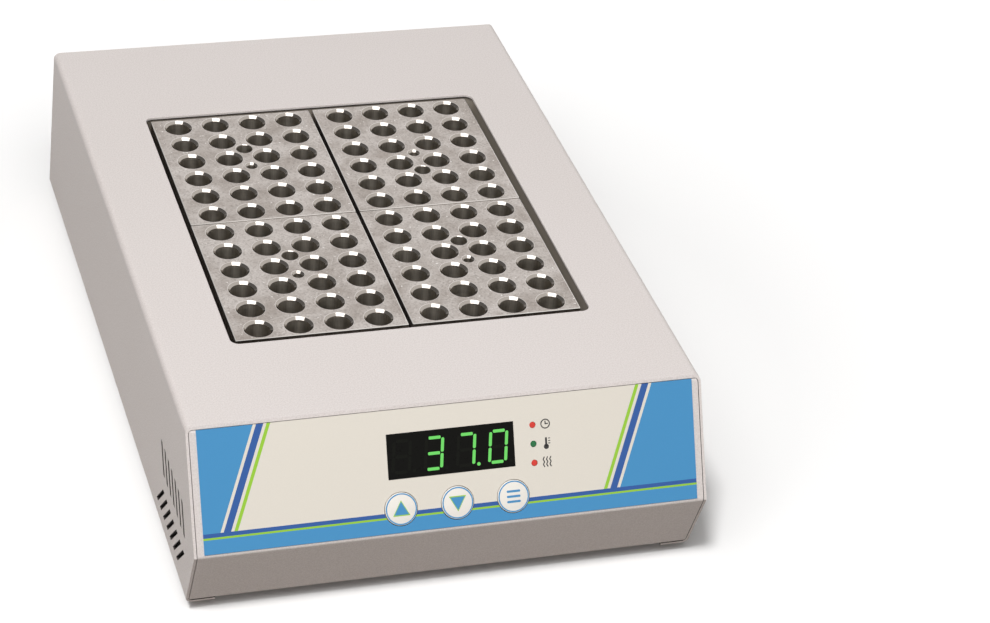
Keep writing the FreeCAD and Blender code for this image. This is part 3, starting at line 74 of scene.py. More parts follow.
# Materials
class Finish:
    """Procedural material around one Principled shader."""

    def __init__(self, name, colour, roughness=0.5, metallic=0.0, **sockets):
        self.material = bpy.data.materials.new(name)
        self.material.use_nodes = True
        self.tree = self.material.node_tree
        self.shader = self.tree.nodes["Principled BSDF"]
        self.set("Base Color", colour)
        self.set("Roughness", roughness)
        self.set("Metallic", metallic)
        for socket, value in sockets.items():
            self.set(socket.replace("_", " "), value)
        self.coordinates = self.tree.nodes.new("ShaderNodeTexCoord")

    def set(self, socket, value):
        self.shader.inputs[socket].default_value = value

    def link(self, output, socket):
        self.tree.links.new(output, self.shader.inputs[socket])

    def mapped(self, stretch=(1, 1, 1), turn=(0, 0, 0)):
        """Object coordinates, turned first and then stretched."""
        node = self.tree.nodes.new("ShaderNodeMapping")
        node.vector_type = "TEXTURE"
        node.inputs["Rotation"].default_value = turn
        node.inputs["Scale"].default_value = [1 / value for value in stretch]
        self.tree.links.new(self.coordinates.outputs["Object"], node.inputs["Vector"])
        return node.outputs["Vector"]

    def noise(self, per_metre, detail=2.0, rough=0.5, stretch=(1, 1, 1), turn=(0, 0, 0)):
        node = self.tree.nodes.new("ShaderNodeTexNoise")
        node.inputs["Scale"].default_value = per_metre
        node.inputs["Detail"].default_value = detail
        node.inputs["Roughness"].default_value = rough
        self.tree.links.new(self.mapped(stretch, turn), node.inputs["Vector"])
        return node.outputs["Fac"]

    def ramp(self, factor, stops):
        """Colour ramp from (position, grey or colour) stops."""
        node = self.tree.nodes.new("ShaderNodeValToRGB")
        marks = node.color_ramp.elements
        while len(marks) < len(stops):
            marks.new(0.5)
        for mark, (position, colour) in zip(marks, stops):
            mark.position = position
            mark.color = colour if isinstance(colour, tuple) else (colour, colour, colour, 1)
        self.tree.links.new(factor, node.inputs["Fac"])
        return node.outputs["Color"]

    def maths(self, operation, a, b):
        node = self.tree.nodes.new("ShaderNodeMath")
        node.operation = operation
        for socket, value in zip(node.inputs, (a, b)):
            if isinstance(value, (int, float)):
                socket.default_value = value
            else:
                self.tree.links.new(value, socket)
        return node.outputs[0]

    def mix(self, factor, a, b):
        node = self.tree.nodes.new("ShaderNodeMix")
        node.data_type = "RGBA"
        self.tree.links.new(factor, node.inputs["Factor"])
        for name, value in (("A", a), ("B", b)):
            socket = next(s for s in node.inputs if s.name == name and s.type == "RGBA")
            if isinstance(value, tuple):
                socket.default_value = value
            else:
                self.tree.links.new(value, socket)
        return next(s for s in node.outputs if s.type == "RGBA")

    def bump(self, height, strength, distance):
        node = self.tree.nodes.new("ShaderNodeBump")
        node.inputs["Strength"].default_value = strength
        node.inputs["Distance"].default_value = distance
        self.tree.links.new(height, node.inputs["Height"])
        self.link(node.outputs["Normal"], "Normal")


def grained(name, colour, dark, per_metre, roughness, spread, relief, metallic=0.0, **sockets):
    """Finish whose colour, roughness and relief follow one fine grain."""
    finish = Finish(name, colour, roughness, metallic, **sockets)
    grain = finish.noise(per_metre, 3.0, 0.6)
    finish.link(finish.mix(grain, dark, colour), "Base Color")
    finish.link(
        finish.ramp(grain, ((0.3, roughness - spread), (0.7, roughness + spread))), "Roughness"
    )
    finish.bump(grain, 0.35, relief)
    return finish.material


def powder_coat():
    """Warm light grey coat: fine speckle, faint orange peel and a slow drift in tone."""
    finish = Finish("powder_coat", COAT, 0.5)
    speckle = finish.noise(1500, 2.0, 0.7)
    drift = finish.noise(9, 1.0, 0.5)
    fine = finish.mix(finish.ramp(speckle, ((0.36, 0.0), (0.64, 1.0))), COAT_DARK, COAT)
    slow = finish.ramp(drift, ((0.3, 0.0), (0.7, 0.12)))
    finish.link(finish.mix(slow, fine, screen(226, 219, 218)), "Base Color")
    peel = finish.noise(620, 2.0, 0.5)
    finish.link(finish.ramp(peel, ((0.3, 0.44), (0.7, 0.58))), "Roughness")
    finish.bump(peel, 0.25, 0.12 * MM)
    return finish.material


def machined_aluminium():
    """Milled top: warm grey stains, fine grain, scratches in several directions, nicks."""
    finish = Finish("machined_aluminium", screen(172, 165, 160), 0.36, 1.0)
    stain = finish.noise(70, 5.0, 0.62)
    mottle = finish.noise(900, 3.0, 0.7)
    tone = finish.mix(
        finish.ramp(stain, ((0.36, 0.0), (0.62, 1.0))), screen(174, 166, 160),
        screen(206, 200, 196),
    )
    tone = finish.mix(
        finish.ramp(mottle, ((0.34, 0.45), (0.52, 0.0))), tone, screen(116, 108, 102)
    )
    scratches = None
    for turn, along, across in ((0.35, 60, 2600), (1.9, 45, 2100), (2.75, 80, 3000)):
        line = finish.noise(1, 2.0, 0.5, (across, along, 60), (0, 0, turn))
        mask = finish.ramp(line, ((0.66, 0.0), (0.72, 1.0)))
        scratches = mask if scratches is None else finish.maths("MAXIMUM", scratches, mask)
    nicks = finish.ramp(finish.noise(760, 0.0, 0.5), ((0.79, 0.0), (0.81, 1.0)))
    marks = finish.maths("MAXIMUM", finish.maths("MULTIPLY", scratches, 0.35), nicks)
    finish.link(finish.mix(marks, tone, screen(232, 229, 226)), "Base Color")
    cutter = finish.noise(1, 2.0, 0.6, (2400, 90, 90), (0, 0, math.radians(90)))
    rough = finish.maths("MULTIPLY_ADD", cutter, 0.16)
    rough.node.inputs[2].default_value = 0.28
    finish.link(rough, "Roughness")
    height = finish.maths("ADD", cutter, finish.maths("MULTIPLY", marks, -0.8))
    finish.bump(height, 0.22, 0.06 * MM)
    return finish.material


def turned_aluminium(name, dark, light, smooth, rough, metallic, relief):
    """Drilled or countersunk metal: fine turned rings round an upright axis."""
    finish = Finish(name, light, rough, metallic)
    rings = finish.noise(1, 2.0, 0.5, (25, 25, 8000))
    finish.link(finish.mix(rings, dark, light), "Base Color")
    finish.link(finish.ramp(rings, ((0.3, smooth), (0.7, rough))), "Roughness")
    finish.bump(rings, relief, 0.03 * MM)
    return finish.material


def bored_aluminium():
    """Drilled wall: turned rings spread each reflection up and down into a streak."""
    light = screen(222, 216, 206)
    finish = Finish("bored_aluminium", light, 0.3, 1.0, Anisotropic=0.8)
    upright = finish.tree.nodes.new("ShaderNodeCombineXYZ")
    upright.inputs["Z"].default_value = 1.0
    finish.link(upright.outputs["Vector"], "Tangent")
    rings = finish.noise(1, 2.0, 0.5, (25, 25, 5000))
    streaks = finish.noise(1, 2.0, 0.6, (1800, 1800, 12))
    turned = finish.mix(rings, screen(202, 195, 185), light)
    finish.link(
        finish.mix(finish.ramp(streaks, ((0.4, 0.0), (0.7, 0.45))), turned, screen(160, 153, 143)),
        "Base Color",
    )
    finish.link(finish.ramp(rings, ((0.3, 0.28), (0.7, 0.38))), "Roughness")
    finish.bump(rings, 0.3, 0.02 * MM)
    return finish.material


def brushed_steel(name, colour, along, metallic=1.0):
    """Brushed along one axis, given as the stretch that is left fine."""
    finish = Finish(name, colour, 0.36, metallic)
    brush = finish.noise(1, 3.0, 0.6, along)
    dark = tuple(0.72 * c for c in colour[:3]) + (1.0,)
    finish.link(finish.mix(brush, dark, colour), "Base Color")
    finish.link(finish.ramp(brush, ((0.3, 0.28), (0.7, 0.46))), "Roughness")
    finish.bump(brush, 0.25, 0.05 * MM)
    return finish.material


def lit(name, colour, strength):
    """Lens that glows in its own colour, a little uneven as behind a diffuser."""
    finish = Finish(name, tuple(0.3 * c for c in colour[:3]) + (1.0,), 0.4)
    glow = finish.noise(700, 1.0, 0.5)
    bright = tuple(min(1.0, 1.12 * c) for c in colour[:3]) + (1.0,)
    finish.link(finish.mix(glow, colour, bright), "Emission Color")
    finish.set("Emission Strength", strength)
    return finish.material


def printed_film(name, colour):
    """Satin polyester film with a faint matt grain."""
    dark = tuple(0.95 * c for c in colour[:3]) + (1.0,)
    return grained(name, colour, dark, 1600, 0.36, 0.05, 0.02 * MM)


def wool():
    """Glass wool with long strands."""
    finish = Finish("glass_wool", screen(228, 222, 200), 0.95, Sheen_Weight=0.3)
    strands = finish.noise(1, 5.0, 0.7, (180, 900, 700))
    finish.link(
        finish.mix(strands, screen(196, 186, 158), screen(240, 236, 220)), "Base Color"
    )
    finish.bump(strands, 0.8, 0.6 * MM)
    return finish.material


coat = powder_coat()
# Painted shade: a dark colour that stands in for the shade inside the case and in the cuts of the
# vents.
inside_shade = grained(
    "painted_inside_shade", screen(84, 80, 77), screen(66, 62, 60), 900, 0.5, 0.06, 0.03 * MM
)
steel = brushed_steel("brushed_tray", screen(206, 196, 182), (60, 60, 2200), 0.45)
zinc = brushed_steel("zinc_plate", screen(190, 190, 194), (900, 900, 900))
top_metal = machined_aluminium()
bore_metal = bored_aluminium()
mouth_metal = turned_aluminium(
    "countersunk_aluminium", screen(166, 159, 152), screen(186, 180, 174), 0.06, 0.12, 1.0, 0.03
)
# Burnished ring round each mouth; its colour is also lighter than the milled top, as a painted
# highlight along every rim.
rim_burnish_and_highlight = turned_aluminium(
    "burnished_rim_and_highlight", screen(214, 210, 206), screen(236, 233, 230), 0.26, 0.36, 1.0, 0.05
)
black = grained(
    "moulded_black", screen(34, 34, 35), screen(24, 24, 25), 1400, 0.46, 0.07, 0.04 * MM
)
rocker_black = grained(
    "rocker_black", screen(30, 30, 31), screen(22, 22, 23), 900, 0.26, 0.05, 0.02 * MM
)
lens_black = grained(
    "smoked_lens", screen(15, 15, 13), screen(11, 11, 9), 500, 0.3, 0.04, 0.01 * MM,
    Specular_IOR_Level=0.08
)
film = {
    "cream": printed_film("film_cream", CREAM),
    "blue": printed_film("film_blue", PRINT_BLUE),
    "dark": printed_film("film_dark_blue", PRINT_DARK),
    "green": printed_film("film_green", PRINT_GREEN),
}
ink = printed_film("black_ink", screen(40, 38, 38))
key_white = grained(
    "key_face", screen(240, 236, 229), screen(232, 227, 219), 1500, 0.4, 0.05, 0.02 * MM
)
rubber = grained(
    "moulded_rubber", screen(40, 39, 38), screen(26, 26, 25), 1100, 0.75, 0.08, 0.08 * MM
)
slot_finishes = {
    "powder_coat": coat, "pan_coat": coat, "overlay": film["cream"],
    "block_aluminium": top_metal, "tray_steel": steel,
    "plate_aluminium": brushed_steel("milled_plate", screen(196, 195, 192), (70, 1800, 70)),
    "dark_lens": lens_black, "display_black": black, "key_white": key_white,
    "lamp_lens": lit("lamp_red", screen(226, 60, 48), 0.5),
    "board_green": grained(
        "solder_mask", screen(22, 92, 50), screen(14, 66, 36), 800, 0.32, 0.06, 0.04 * MM
    ),
    "black_plastic": black, "rocker_black": rocker_black, "foot_rubber": rubber,
    "zinc_steel": zinc,
    "brass_pins": brushed_steel("plated_brass", screen(214, 190, 132), (900, 900, 900)),
    "silicone_heater": grained(
        "silicone", screen(186, 78, 40), screen(156, 60, 30), 700, 0.6, 0.06, 0.08 * MM
    ),
    "wool": wool(),
    "nylon": grained(
        "natural_nylon", screen(232, 229, 220), screen(220, 216, 205), 900, 0.5, 0.06, 0.03 * MM
    ),
    "glass_fuse": grained(
        "fuse_glass", screen(205, 214, 212), screen(190, 200, 198), 400, 0.12, 0.03, 0.01 * MM
    ),
    "sink_aluminium": brushed_steel("black_anodised", screen(58, 58, 60), (900, 90, 900)),
    "post_steel": brushed_steel("turned_steel", screen(176, 176, 178), (90, 90, 2400)),
}
for row in frame["record"]["subparts"]:
    for socket in nodes[row["node"]].material_slots:
        socket.material = slot_finishes[row["material_slot"]]


# Mesh helpers
BROAD_AREA = 400 * MM * MM
LEVEL = math.radians(0.6)


def smooth_below(bm, degrees):
    """Smooth shading across edges flatter than an angle; broad level fields stay flat."""
    limit = math.radians(degrees)
    left = set(bm.faces)
    while left:
        field = [left.pop()]
        for face in field:
            for edge in face.edges:
                if edge.is_manifold and edge.calc_face_angle(math.pi) < LEVEL:
                    level = left.intersection(edge.link_faces)
                    left -= level
                    field.extend(level)
        broad = sum(face.calc_area() for face in field) > BROAD_AREA
        for face in field:
            face.smooth = not broad
    for edge in bm.edges:
        edge.smooth = edge.is_manifold and edge.calc_face_angle(math.pi) < limit


def piece(bm, name, body, materials):
    """Finished mesh as a piece that rides on a body."""
    mesh = bpy.data.meshes.new(name)
    bm.to_mesh(mesh)
    bm.free()
    for material in materials:
        mesh.materials.append(material)
    made = bpy.data.objects.new(name, mesh)
    bpy.context.scene.collection.objects.link(made)
    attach(made, body)
    return made


def merged_copy(node):
    """Editable copy of a CAD node, with its triangles joined into level faces."""
    bm = bmesh.new()
    bm.from_mesh(nodes[node].data)
    bmesh.ops.remove_doubles(bm, verts=bm.verts, dist=MERGE)
    bmesh.ops.dissolve_limit(
        bm, angle_limit=math.radians(0.5), verts=bm.verts, edges=bm.edges
    )
    return bm


def soften(bm, width, segments=2, sharper_than=30, wanted=lambda edge: True):
    """Rounds the edges that are sharper than an angle."""
    limit = math.radians(sharper_than)
    sharp = [
        e for e in bm.edges if e.is_manifold and e.calc_face_angle(0.0) > limit and wanted(e)
    ]
    bmesh.ops.bevel(
        bm, geom=sharp, offset=width, segments=segments, profile=0.5, affect="EDGES",
        clamp_overlap=True, material=-1,
    )


def dress(node, body, material, width=0.0, segments=2):
    """Merged copy of a CAD node with soft edges, which stands for it."""
    bm = merged_copy(node)
    if width:
        soften(bm, width, segments)
    smooth_below(bm, 40)
    made = piece(bm, f"{node}_finish", body, [material])
    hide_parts(node)
    return made


def stamp(bm, other, place):
    """Adds a small mesh at a place."""
    first = len(bm.verts)
    bm.from_mesh(other)
    bm.verts.ensure_lookup_table()
    bmesh.ops.transform(bm, matrix=place, verts=bm.verts[first:])


def small_mesh(build):
    """Mesh made by a function that fills a bmesh, to stamp many times."""
    bm = bmesh.new()
    build(bm)
    mesh = bpy.data.meshes.new("stamp")
    bm.to_mesh(mesh)
    bm.free()
    return mesh


def rounded_bar(length, width, thickness, corner, segments=4):
    """Flat bar on z = 0 with rounded corners."""
    def build(bm):
        bmesh.ops.create_cube(bm, size=1.0, matrix=Matrix.Diagonal((length, width, thickness, 1)))
        bmesh.ops.translate(bm, verts=bm.verts, vec=(0, 0, thickness / 2))
        upright = [e for e in bm.edges if abs((e.verts[0].co - e.verts[1].co).z) > thickness / 2]
        bmesh.ops.bevel(
            bm, geom=upright, offset=corner, segments=segments, profile=0.5, affect="EDGES",
            clamp_overlap=True, material=-1,
        )
    return small_mesh(build)


def flat_ring(outer, inner, thickness, segments=48):
    """Washer on z = 0."""
    def build(bm):
        section = [
            bm.verts.new((x, 0, z))
            for x, z in ((inner, 0), (outer, 0), (outer, thickness), (inner, thickness))
        ]
        edges = [bm.edges.new(pair) for pair in zip(section, section[1:] + section[:1])]
        bmesh.ops.spin(
            bm, geom=section + edges, cent=(0, 0, 0), axis=(0, 0, 1), angle=2 * math.pi,
            steps=segments, use_merge=True, use_duplicate=False,
        )
        bmesh.ops.remove_doubles(bm, verts=bm.verts, dist=0.002 * thickness)
        bmesh.ops.recalc_face_normals(bm, faces=bm.faces)
    return small_mesh(build)


def flat_shape(points, thickness):
    """Flat plate on z = 0 with an outline through a few points."""
    def build(bm):
        face = bm.faces.new([bm.verts.new((x, y, 0)) for x, y in points])
        grown = bmesh.ops.extrude_face_region(bm, geom=[face])
        raised = [v for v in grown["geom"] if isinstance(v, bmesh.types.BMVert)]
        bmesh.ops.translate(bm, verts=raised, vec=(0, 0, thickness))
        bmesh.ops.recalc_face_normals(bm, faces=bm.faces)
    return small_mesh(build)


# Frames of the two panels, from the case's corners
cover_low, cover_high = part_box("top_cover")
FRONT_SETBACK = 26.5 * MM
NOSE_HEIGHT = 40.0 * MM
BACK_SETBACK = 12.5 * MM


def plane_frame(origin, across, up):
    """Frame with x across a panel, y up it and z out of it."""
    up = up.normalized()
    out = across.cross(up)
    frame_of = Matrix((across, up, out)).transposed().to_4x4()
    frame_of.translation = origin
    return frame_of


front = plane_frame(
    Vector((0, cover_low.y + FRONT_SETBACK, cover_high.z)), Vector((1, 0, 0)),
    Vector((0, FRONT_SETBACK, cover_high.z - NOSE_HEIGHT)),
)
rear = plane_frame(
    Vector((0, cover_high.y, cover_low.z)), Vector((-1, 0, 0)),
    Vector((0, -BACK_SETBACK, cover_high.z - cover_low.z)),
)


def on(panel, x, y, z=0.0, turn=0.0, lean=0.0):
    """Place on a panel, turned in its plane and leaning to the right."""
    skew = Matrix.Identity(4)
    skew[0][1] = lean
    return panel @ Matrix.Translation((x, y, z)) @ skew @ Matrix.Rotation(turn, 4, "Z")


# Sheet metal
OPENING_REACH = Vector((90 * MM, 105 * MM))
OPENING_BREAK = 0.3 * MM
CASE_MIDDLE = (cover_low + cover_high) / 2
SHEET = 2.0 * MM
VENT_MARGIN = 4.0 * MM
NOSE_MARGIN = 14.0 * MM


def shade_inside(bm):
    """Painted shade: a dark colour on the faces that look into the case, and in the cuts of the
    vents, where there is only shade.
    """
    into_front, into_rear = front.inverted(), rear.inverted()
    for face in bm.faces:
        spot = face.calc_center_median()
        if spot.z > cover_high.z - SHEET:
            dark = face.normal.z < -0.5
        elif abs(spot.x) > cover_high.x - SHEET and abs(face.normal.x) < 0.5:
            dark = (
                spot.z > VENT_MARGIN and spot.y > cover_low.y + NOSE_MARGIN
                and max((into_front @ spot).z, (into_rear @ spot).z) < -VENT_MARGIN
            )
        else:
            dark = face.normal.dot(CASE_MIDDLE - spot) > 0
        face.material_index = int(dark)


def coat_sheet(bm, node):
    """Sheet-metal node, coated outside, with painted shade on the faces that look inside."""
    smooth_below(bm, 40)
    shade_inside(bm)
    made = piece(bm, f"{node}_finish", HOUSING, [coat, inside_shade])
    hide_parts(node)


def dress_cover():
    """The cover, with the cut edge of its opening broken so that it catches the light."""
    bm = merged_copy("top_cover")

    def at_opening(edge):
        return all(
            v.co.z > cover_high.z - MERGE and abs(v.co.x) < OPENING_REACH.x
            and abs(v.co.y - CASE_MIDDLE.y) < OPENING_REACH.y for v in edge.verts
        )
    soften(bm, OPENING_BREAK, 2, 30, at_opening)
    coat_sheet(bm, "top_cover")


dress_cover()
coat_sheet(merged_copy("base_pan"), "base_pan")
dress("bath_tray", HOUSING, steel)


# Printed overlay: bands and slanted bars on cream, cut into the film as its own faces
BAND_DARK = 46.4 * MM
BAND_GREEN = 48.2 * MM
BAND_BLUE = 49.1 * MM
BAR_LEAN = 0.38
BARS = (
    (-130.0, -104.0, "blue"), (-102.6, -99.4, "dark"), (-98.0, -96.4, "green"),
    (68.0, 69.6, "green"), (71.0, 74.2, "dark"), (75.6, 130.0, "blue"),
)


def film_colour(x, drop):
    """Colour of the print at a point across the panel and below its top edge."""
    if drop > BAND_BLUE:
        return "blue"
    if drop > BAND_GREEN:
        return "green"
    if drop > BAND_DARK:
        return "dark"
    along = x - BAR_LEAN * (BAND_DARK - drop)
    for low, high, colour in BARS:
        if low * MM < along < high * MM:
            return colour
    return "cream"


def make_overlay():
    """The film, scored along the edges of its print, so that each face has one colour."""
    bm = merged_copy("front_overlay")
    into_panel = front.inverted()
    bmesh.ops.transform(bm, matrix=into_panel, verts=bm.verts)

    def score(point, normal):
        bmesh.ops.bisect_plane(
            bm, geom=bm.verts[:] + bm.edges[:] + bm.faces[:], dist=0.0001 * MM,
            plane_co=point, plane_no=normal,
        )

    for drop in (BAND_DARK, BAND_GREEN, BAND_BLUE):
        score((0, -drop, 0), (0, 1, 0))
    for low, high, _ in BARS:
        for edge in (low, high):
            score((edge * MM, -BAND_DARK, 0), (1, -BAR_LEAN, 0))
    names = list(film)
    for face in bm.faces:
        spot = face.calc_center_median()
        face.material_index = names.index(film_colour(spot.x, -spot.y))
    bmesh.ops.transform(bm, matrix=front, verts=bm.verts)
    smooth_below(bm, 20)
    made = piece(bm, "front_overlay_print", HOUSING, list(film.values()))
    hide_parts("front_overlay")


make_overlay()

# Display: smoked lens with three lit digits and one dark one
LENS_FACE = 0.4 * MM
PRINT_RISE = 0.03 * MM
DIGIT_DROP = 22.3 * MM
DIGIT_PITCH = 14.5 * MM
LAST_DIGIT = 20.7 * MM
DIGIT_LEAN = 0.10
STROKE = 1.35 * MM
STROKE_ACROSS = 7.3 * MM
STROKE_UP = 13.6 * MM
STROKE_GAP = 0.28 * MM
POINT_SIZE = 1.15 * STROKE
POINT_CORNER = 0.55 * STROKE
POINT_SHIFT = 1.75 * STROKE
WINDOW_EDGE = 0.15 * MM
SHOWN = (" ", "3", "7", "0")
SEGMENTS = {" ": "", "0": "abcdef", "3": "abcdg", "7": "abc"}


def make_display():
    """Window, and every stroke of four digits on it, lit or dark."""
    dress("display_window", HOUSING, lens_black, WINDOW_EDGE)
    half_up = STROKE_UP / 2
    level = rounded_bar(STROKE_ACROSS - STROKE - 2 * STROKE_GAP, STROKE, PRINT_RISE, STROKE / 3)
    upright = rounded_bar(
        half_up - 2 * STROKE_GAP, STROKE, PRINT_RISE, STROKE / 2.2
    )
    quarter = math.pi / 2
    layout = {
        "a": (0, half_up, 0, level), "g": (0, 0, 0, level), "d": (0, -half_up, 0, level),
        "b": (STROKE_ACROSS / 2, half_up / 2, quarter, upright),
        "c": (STROKE_ACROSS / 2, -half_up / 2, quarter, upright),
        "e": (-STROKE_ACROSS / 2, -half_up / 2, quarter, upright),
        "f": (-STROKE_ACROSS / 2, half_up / 2, quarter, upright),
    }
    bright, dim = bmesh.new(), bmesh.new()
    for i, digit in enumerate(reversed(SHOWN)):
        centre = LAST_DIGIT - i * DIGIT_PITCH
        for name, (x, y, turn, bar) in layout.items():
            target = bright if name in SEGMENTS[digit] else dim
            leaned = x + DIGIT_LEAN * y
            stamp(target, bar, on(
                front, centre + leaned, y - DIGIT_DROP, LENS_FACE, turn,
                DIGIT_LEAN if turn else 0.0,
            ))
        point = rounded_bar(POINT_SIZE, POINT_SIZE, PRINT_RISE, POINT_CORNER, 6)
        stamp(bright if digit == "7" else dim, point, on(
            front, centre + STROKE_ACROSS / 2 + POINT_SHIFT - DIGIT_LEAN * half_up,
            -half_up - DIGIT_DROP, LENS_FACE,
        ))
    piece(bright, "display_digits_lit", HOUSING, [lit("digit_lit", DIGIT_GREEN, 1.0)])
    unlit = grained(
        "digit_dark", screen(20, 21, 17), screen(16, 17, 14), 800, 0.4, 0.03, 0.01 * MM,
        Specular_IOR_Level=0.08
    )
    piece(dim, "display_digits_dark", HOUSING, [unlit])


make_display()

# Keys: domed white caps with a printed ring and mark
KEY_DROP = 45.0 * MM
KEY_FACE = 0.85 * MM
RING_OUTER = 6.95 * MM
RING_INNER = 6.4 * MM
ARROW = 4.2 * MM
ARROW_FILL = 0.84
KEY_EDGE = 0.22 * MM
MENU_LENGTH = 6.2 * MM
MENU_WIDTH = 1.0 * MM
MENU_CORNER = 0.4 * MM
MENU_PITCH = 2.3 * MM


def triangle(size, sign):
    """Corners of an arrow that points up for 1 and down for -1."""
    return [(-0.92 * size, -0.72 * size * sign), (0.92 * size, -0.72 * size * sign),
            (0, 0.92 * size * sign)]


def make_keys():
    """Caps with a printed ring, and an arrow or three bars."""
    ring = flat_ring(RING_OUTER, RING_INNER, PRINT_RISE)
    menu_bar = rounded_bar(MENU_LENGTH, MENU_WIDTH, PRINT_RISE, MENU_CORNER)
    for name, sign in (("up", 1), ("down", -1), ("mode", 0)):
        node, body = f"{name}_key", f"{name}_button"
        dress(node, body, key_white, KEY_EDGE, 3)
        low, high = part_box(node)
        x = (low.x + high.x) / 2
        face = on(front, x, -KEY_DROP, KEY_FACE)
        print_mesh = bmesh.new()
        stamp(print_mesh, ring, face)
        if sign:
            inner = triangle(ARROW * ARROW_FILL, sign)
            outer = triangle(ARROW, sign)
            edge = bmesh.new()
            stamp(edge, flat_shape(outer, PRINT_RISE / 2), face)
            piece(edge, f"{name}_key_arrow_edge", body, [film["green"]])
            stamp(print_mesh, flat_shape(inner, PRINT_RISE), face)
        else:
            for row in (-1, 0, 1):
                stamp(print_mesh, menu_bar, on(front, x, row * MENU_PITCH - KEY_DROP, KEY_FACE))
        piece(print_mesh, f"{name}_key_print", body, [film["blue"]])


make_keys()

# Indicator lamps, with a clock, a thermometer and three waves beside them
LAMP_DROPS = (14.6 * MM, 23.0 * MM, 31.4 * MM)
MARK_X = 42.6 * MM
FILM_FACE = 0.4 * MM
LAMP_EDGE = 0.25 * MM
LAMP_REACH = 3.0 * MM
LINE = 0.5 * MM
CLOCK_OUTER = 2.2 * MM
CLOCK_INNER = 1.7 * MM
HAND_LENGTH = 1.5 * MM
HAND_SHIFT = 0.55 * MM
BULB = 2.3 * MM
BULB_CORNER = 1.1 * MM
BULB_DROP = 1.7 * MM
STEM_LENGTH = 4.0 * MM
STEM_WIDTH = 0.9 * MM
STEM_CORNER = 0.42 * MM
STEM_RISE = 0.4 * MM
TICK_LENGTH = 1.0 * MM
TICK_WIDTH = 0.35 * MM
TICK_CORNER = 0.1 * MM
TICK_SHIFT = 1.4 * MM
TICK_TOP = 1.9 * MM
WAVE_LENGTH = 1.45 * MM
WAVE_TOP = 1.65 * MM
WAVE_PITCH = 1.5 * MM
WAVE_LEAN = math.radians(28)
MARK_STEP = 1.1 * MM


def make_lamps():
    """Red lenses with a green one between them."""
    bm = merged_copy("indicator_lamps")
    soften(bm, LAMP_EDGE, 3, 60)
    smooth_below(bm, 50)
    into_panel = front.inverted()
    middle_drop = LAMP_DROPS[1]
    for face in bm.faces:
        drop = -(into_panel @ face.calc_center_median()).y
        face.material_index = 1 if abs(drop - middle_drop) < LAMP_REACH else 0
    made = piece(
        bm, "indicator_lamp_lenses", HOUSING,
        [slot_finishes["lamp_lens"], lit("lamp_green", screen(22, 122, 66), 0.35)],
    )
    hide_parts("indicator_lamps")


def make_lamp_marks():
    """Clock, thermometer and waves, printed beside the lamps."""
    marks = bmesh.new()
    clock_drop, bulb_drop, wave_drop = LAMP_DROPS
    upright = math.pi / 2

    clock = flat_ring(CLOCK_OUTER, CLOCK_INNER, PRINT_RISE, 32)
    hand = rounded_bar(HAND_LENGTH, LINE, PRINT_RISE, 0.3 * LINE)
    stamp(marks, clock, on(front, MARK_X, -clock_drop, FILM_FACE))
    stamp(marks, hand, on(front, MARK_X + HAND_SHIFT, -clock_drop, FILM_FACE))
    stamp(marks, hand, on(front, MARK_X, HAND_SHIFT - clock_drop, FILM_FACE, upright))

    bulb = rounded_bar(BULB, BULB, PRINT_RISE, BULB_CORNER, 6)
    stem = rounded_bar(STEM_LENGTH, STEM_WIDTH, PRINT_RISE, STEM_CORNER)
    tick = rounded_bar(TICK_LENGTH, TICK_WIDTH, PRINT_RISE, TICK_CORNER)
    stamp(marks, bulb, on(front, MARK_X, -BULB_DROP - bulb_drop, FILM_FACE))
    stamp(marks, stem, on(front, MARK_X, STEM_RISE - bulb_drop, FILM_FACE, upright))
    for i in range(3):
        y = TICK_TOP - i * MARK_STEP - bulb_drop
        stamp(marks, tick, on(front, MARK_X + TICK_SHIFT, y, FILM_FACE))

    step = rounded_bar(WAVE_LENGTH, LINE, PRINT_RISE, 0.4 * LINE)
    for column in (-1, 0, 1):
        x = MARK_X + column * WAVE_PITCH
        for i in range(4):
            y = WAVE_TOP - i * MARK_STEP - wave_drop
            lean = WAVE_LEAN if i % 2 else -WAVE_LEAN
            stamp(marks, step, on(front, x, y, FILM_FACE, upright + lean))
    piece(marks, "lamp_marks", HOUSING, [ink])


make_lamps()
make_lamp_marks()

# Heat blocks: chamfered billets, bored through a boolean with one cutter of all bores
WELL_COLUMNS, WELL_ROWS = 4, 6
WELL_PITCH = (18.4 * MM, 15.875 * MM)
WELL_RADIUS = 5.6 * MM
WELL_DEPTH = 44.0 * MM
WELL_MOUTH = 6.7 * MM
RIM_WIDTH = 0.2 * MM
RIM_DIP = 0.06 * MM
PROBE_RADIUS = 3.8 * MM
PROBE_MOUTH = 4.1 * MM
LIFT_RADIUS = 2.1 * MM
LIFT_MOUTH = 3.0 * MM
LIFT_DEPTH = 14.0 * MM
BLOCK_EDGE = 0.55 * MM
WELL_CORNER = 2.0 * MM
PROBE_CORNER = 1.0 * MM
LIFT_CORNER = 0.5 * MM
WELL_STEPS, PROBE_STEPS, LIFT_STEPS = 48, 32, 24
CUTTER_RISE = 1.0 * MM
WALL, MOUTH, RIM = 1, 2, 3
LEVEL_LEAST, RIM_LEAST, MOUTH_LEAST = 0.99, 0.88, 0.3


def add_bore(bm, x, y, radius, mouth, depth, floor, segments):
    """Spun solid of one bore at z = 0: burnished rim (its finish also carries a painted
    highlight), 45 degree countersink, wall, floor.
    """
    rim = mouth + RIM_WIDTH
    profile = (
        (0, CUTTER_RISE), (rim, CUTTER_RISE), (rim, 0), (mouth, -RIM_DIP),
        (radius, radius - mouth - RIM_DIP), (radius, -depth + floor),
        (radius - floor, -depth), (0, -depth),
    )
    points = [bm.verts.new((x + r, y, z)) for r, z in profile]
    edges = [bm.edges.new(pair) for pair in zip(points, points[1:])]
    bmesh.ops.spin(
        bm, geom=points + edges, cent=(x, y, 0), axis=(0, 0, 1), angle=2 * math.pi,
        steps=segments, use_merge=True, use_duplicate=False,
    )


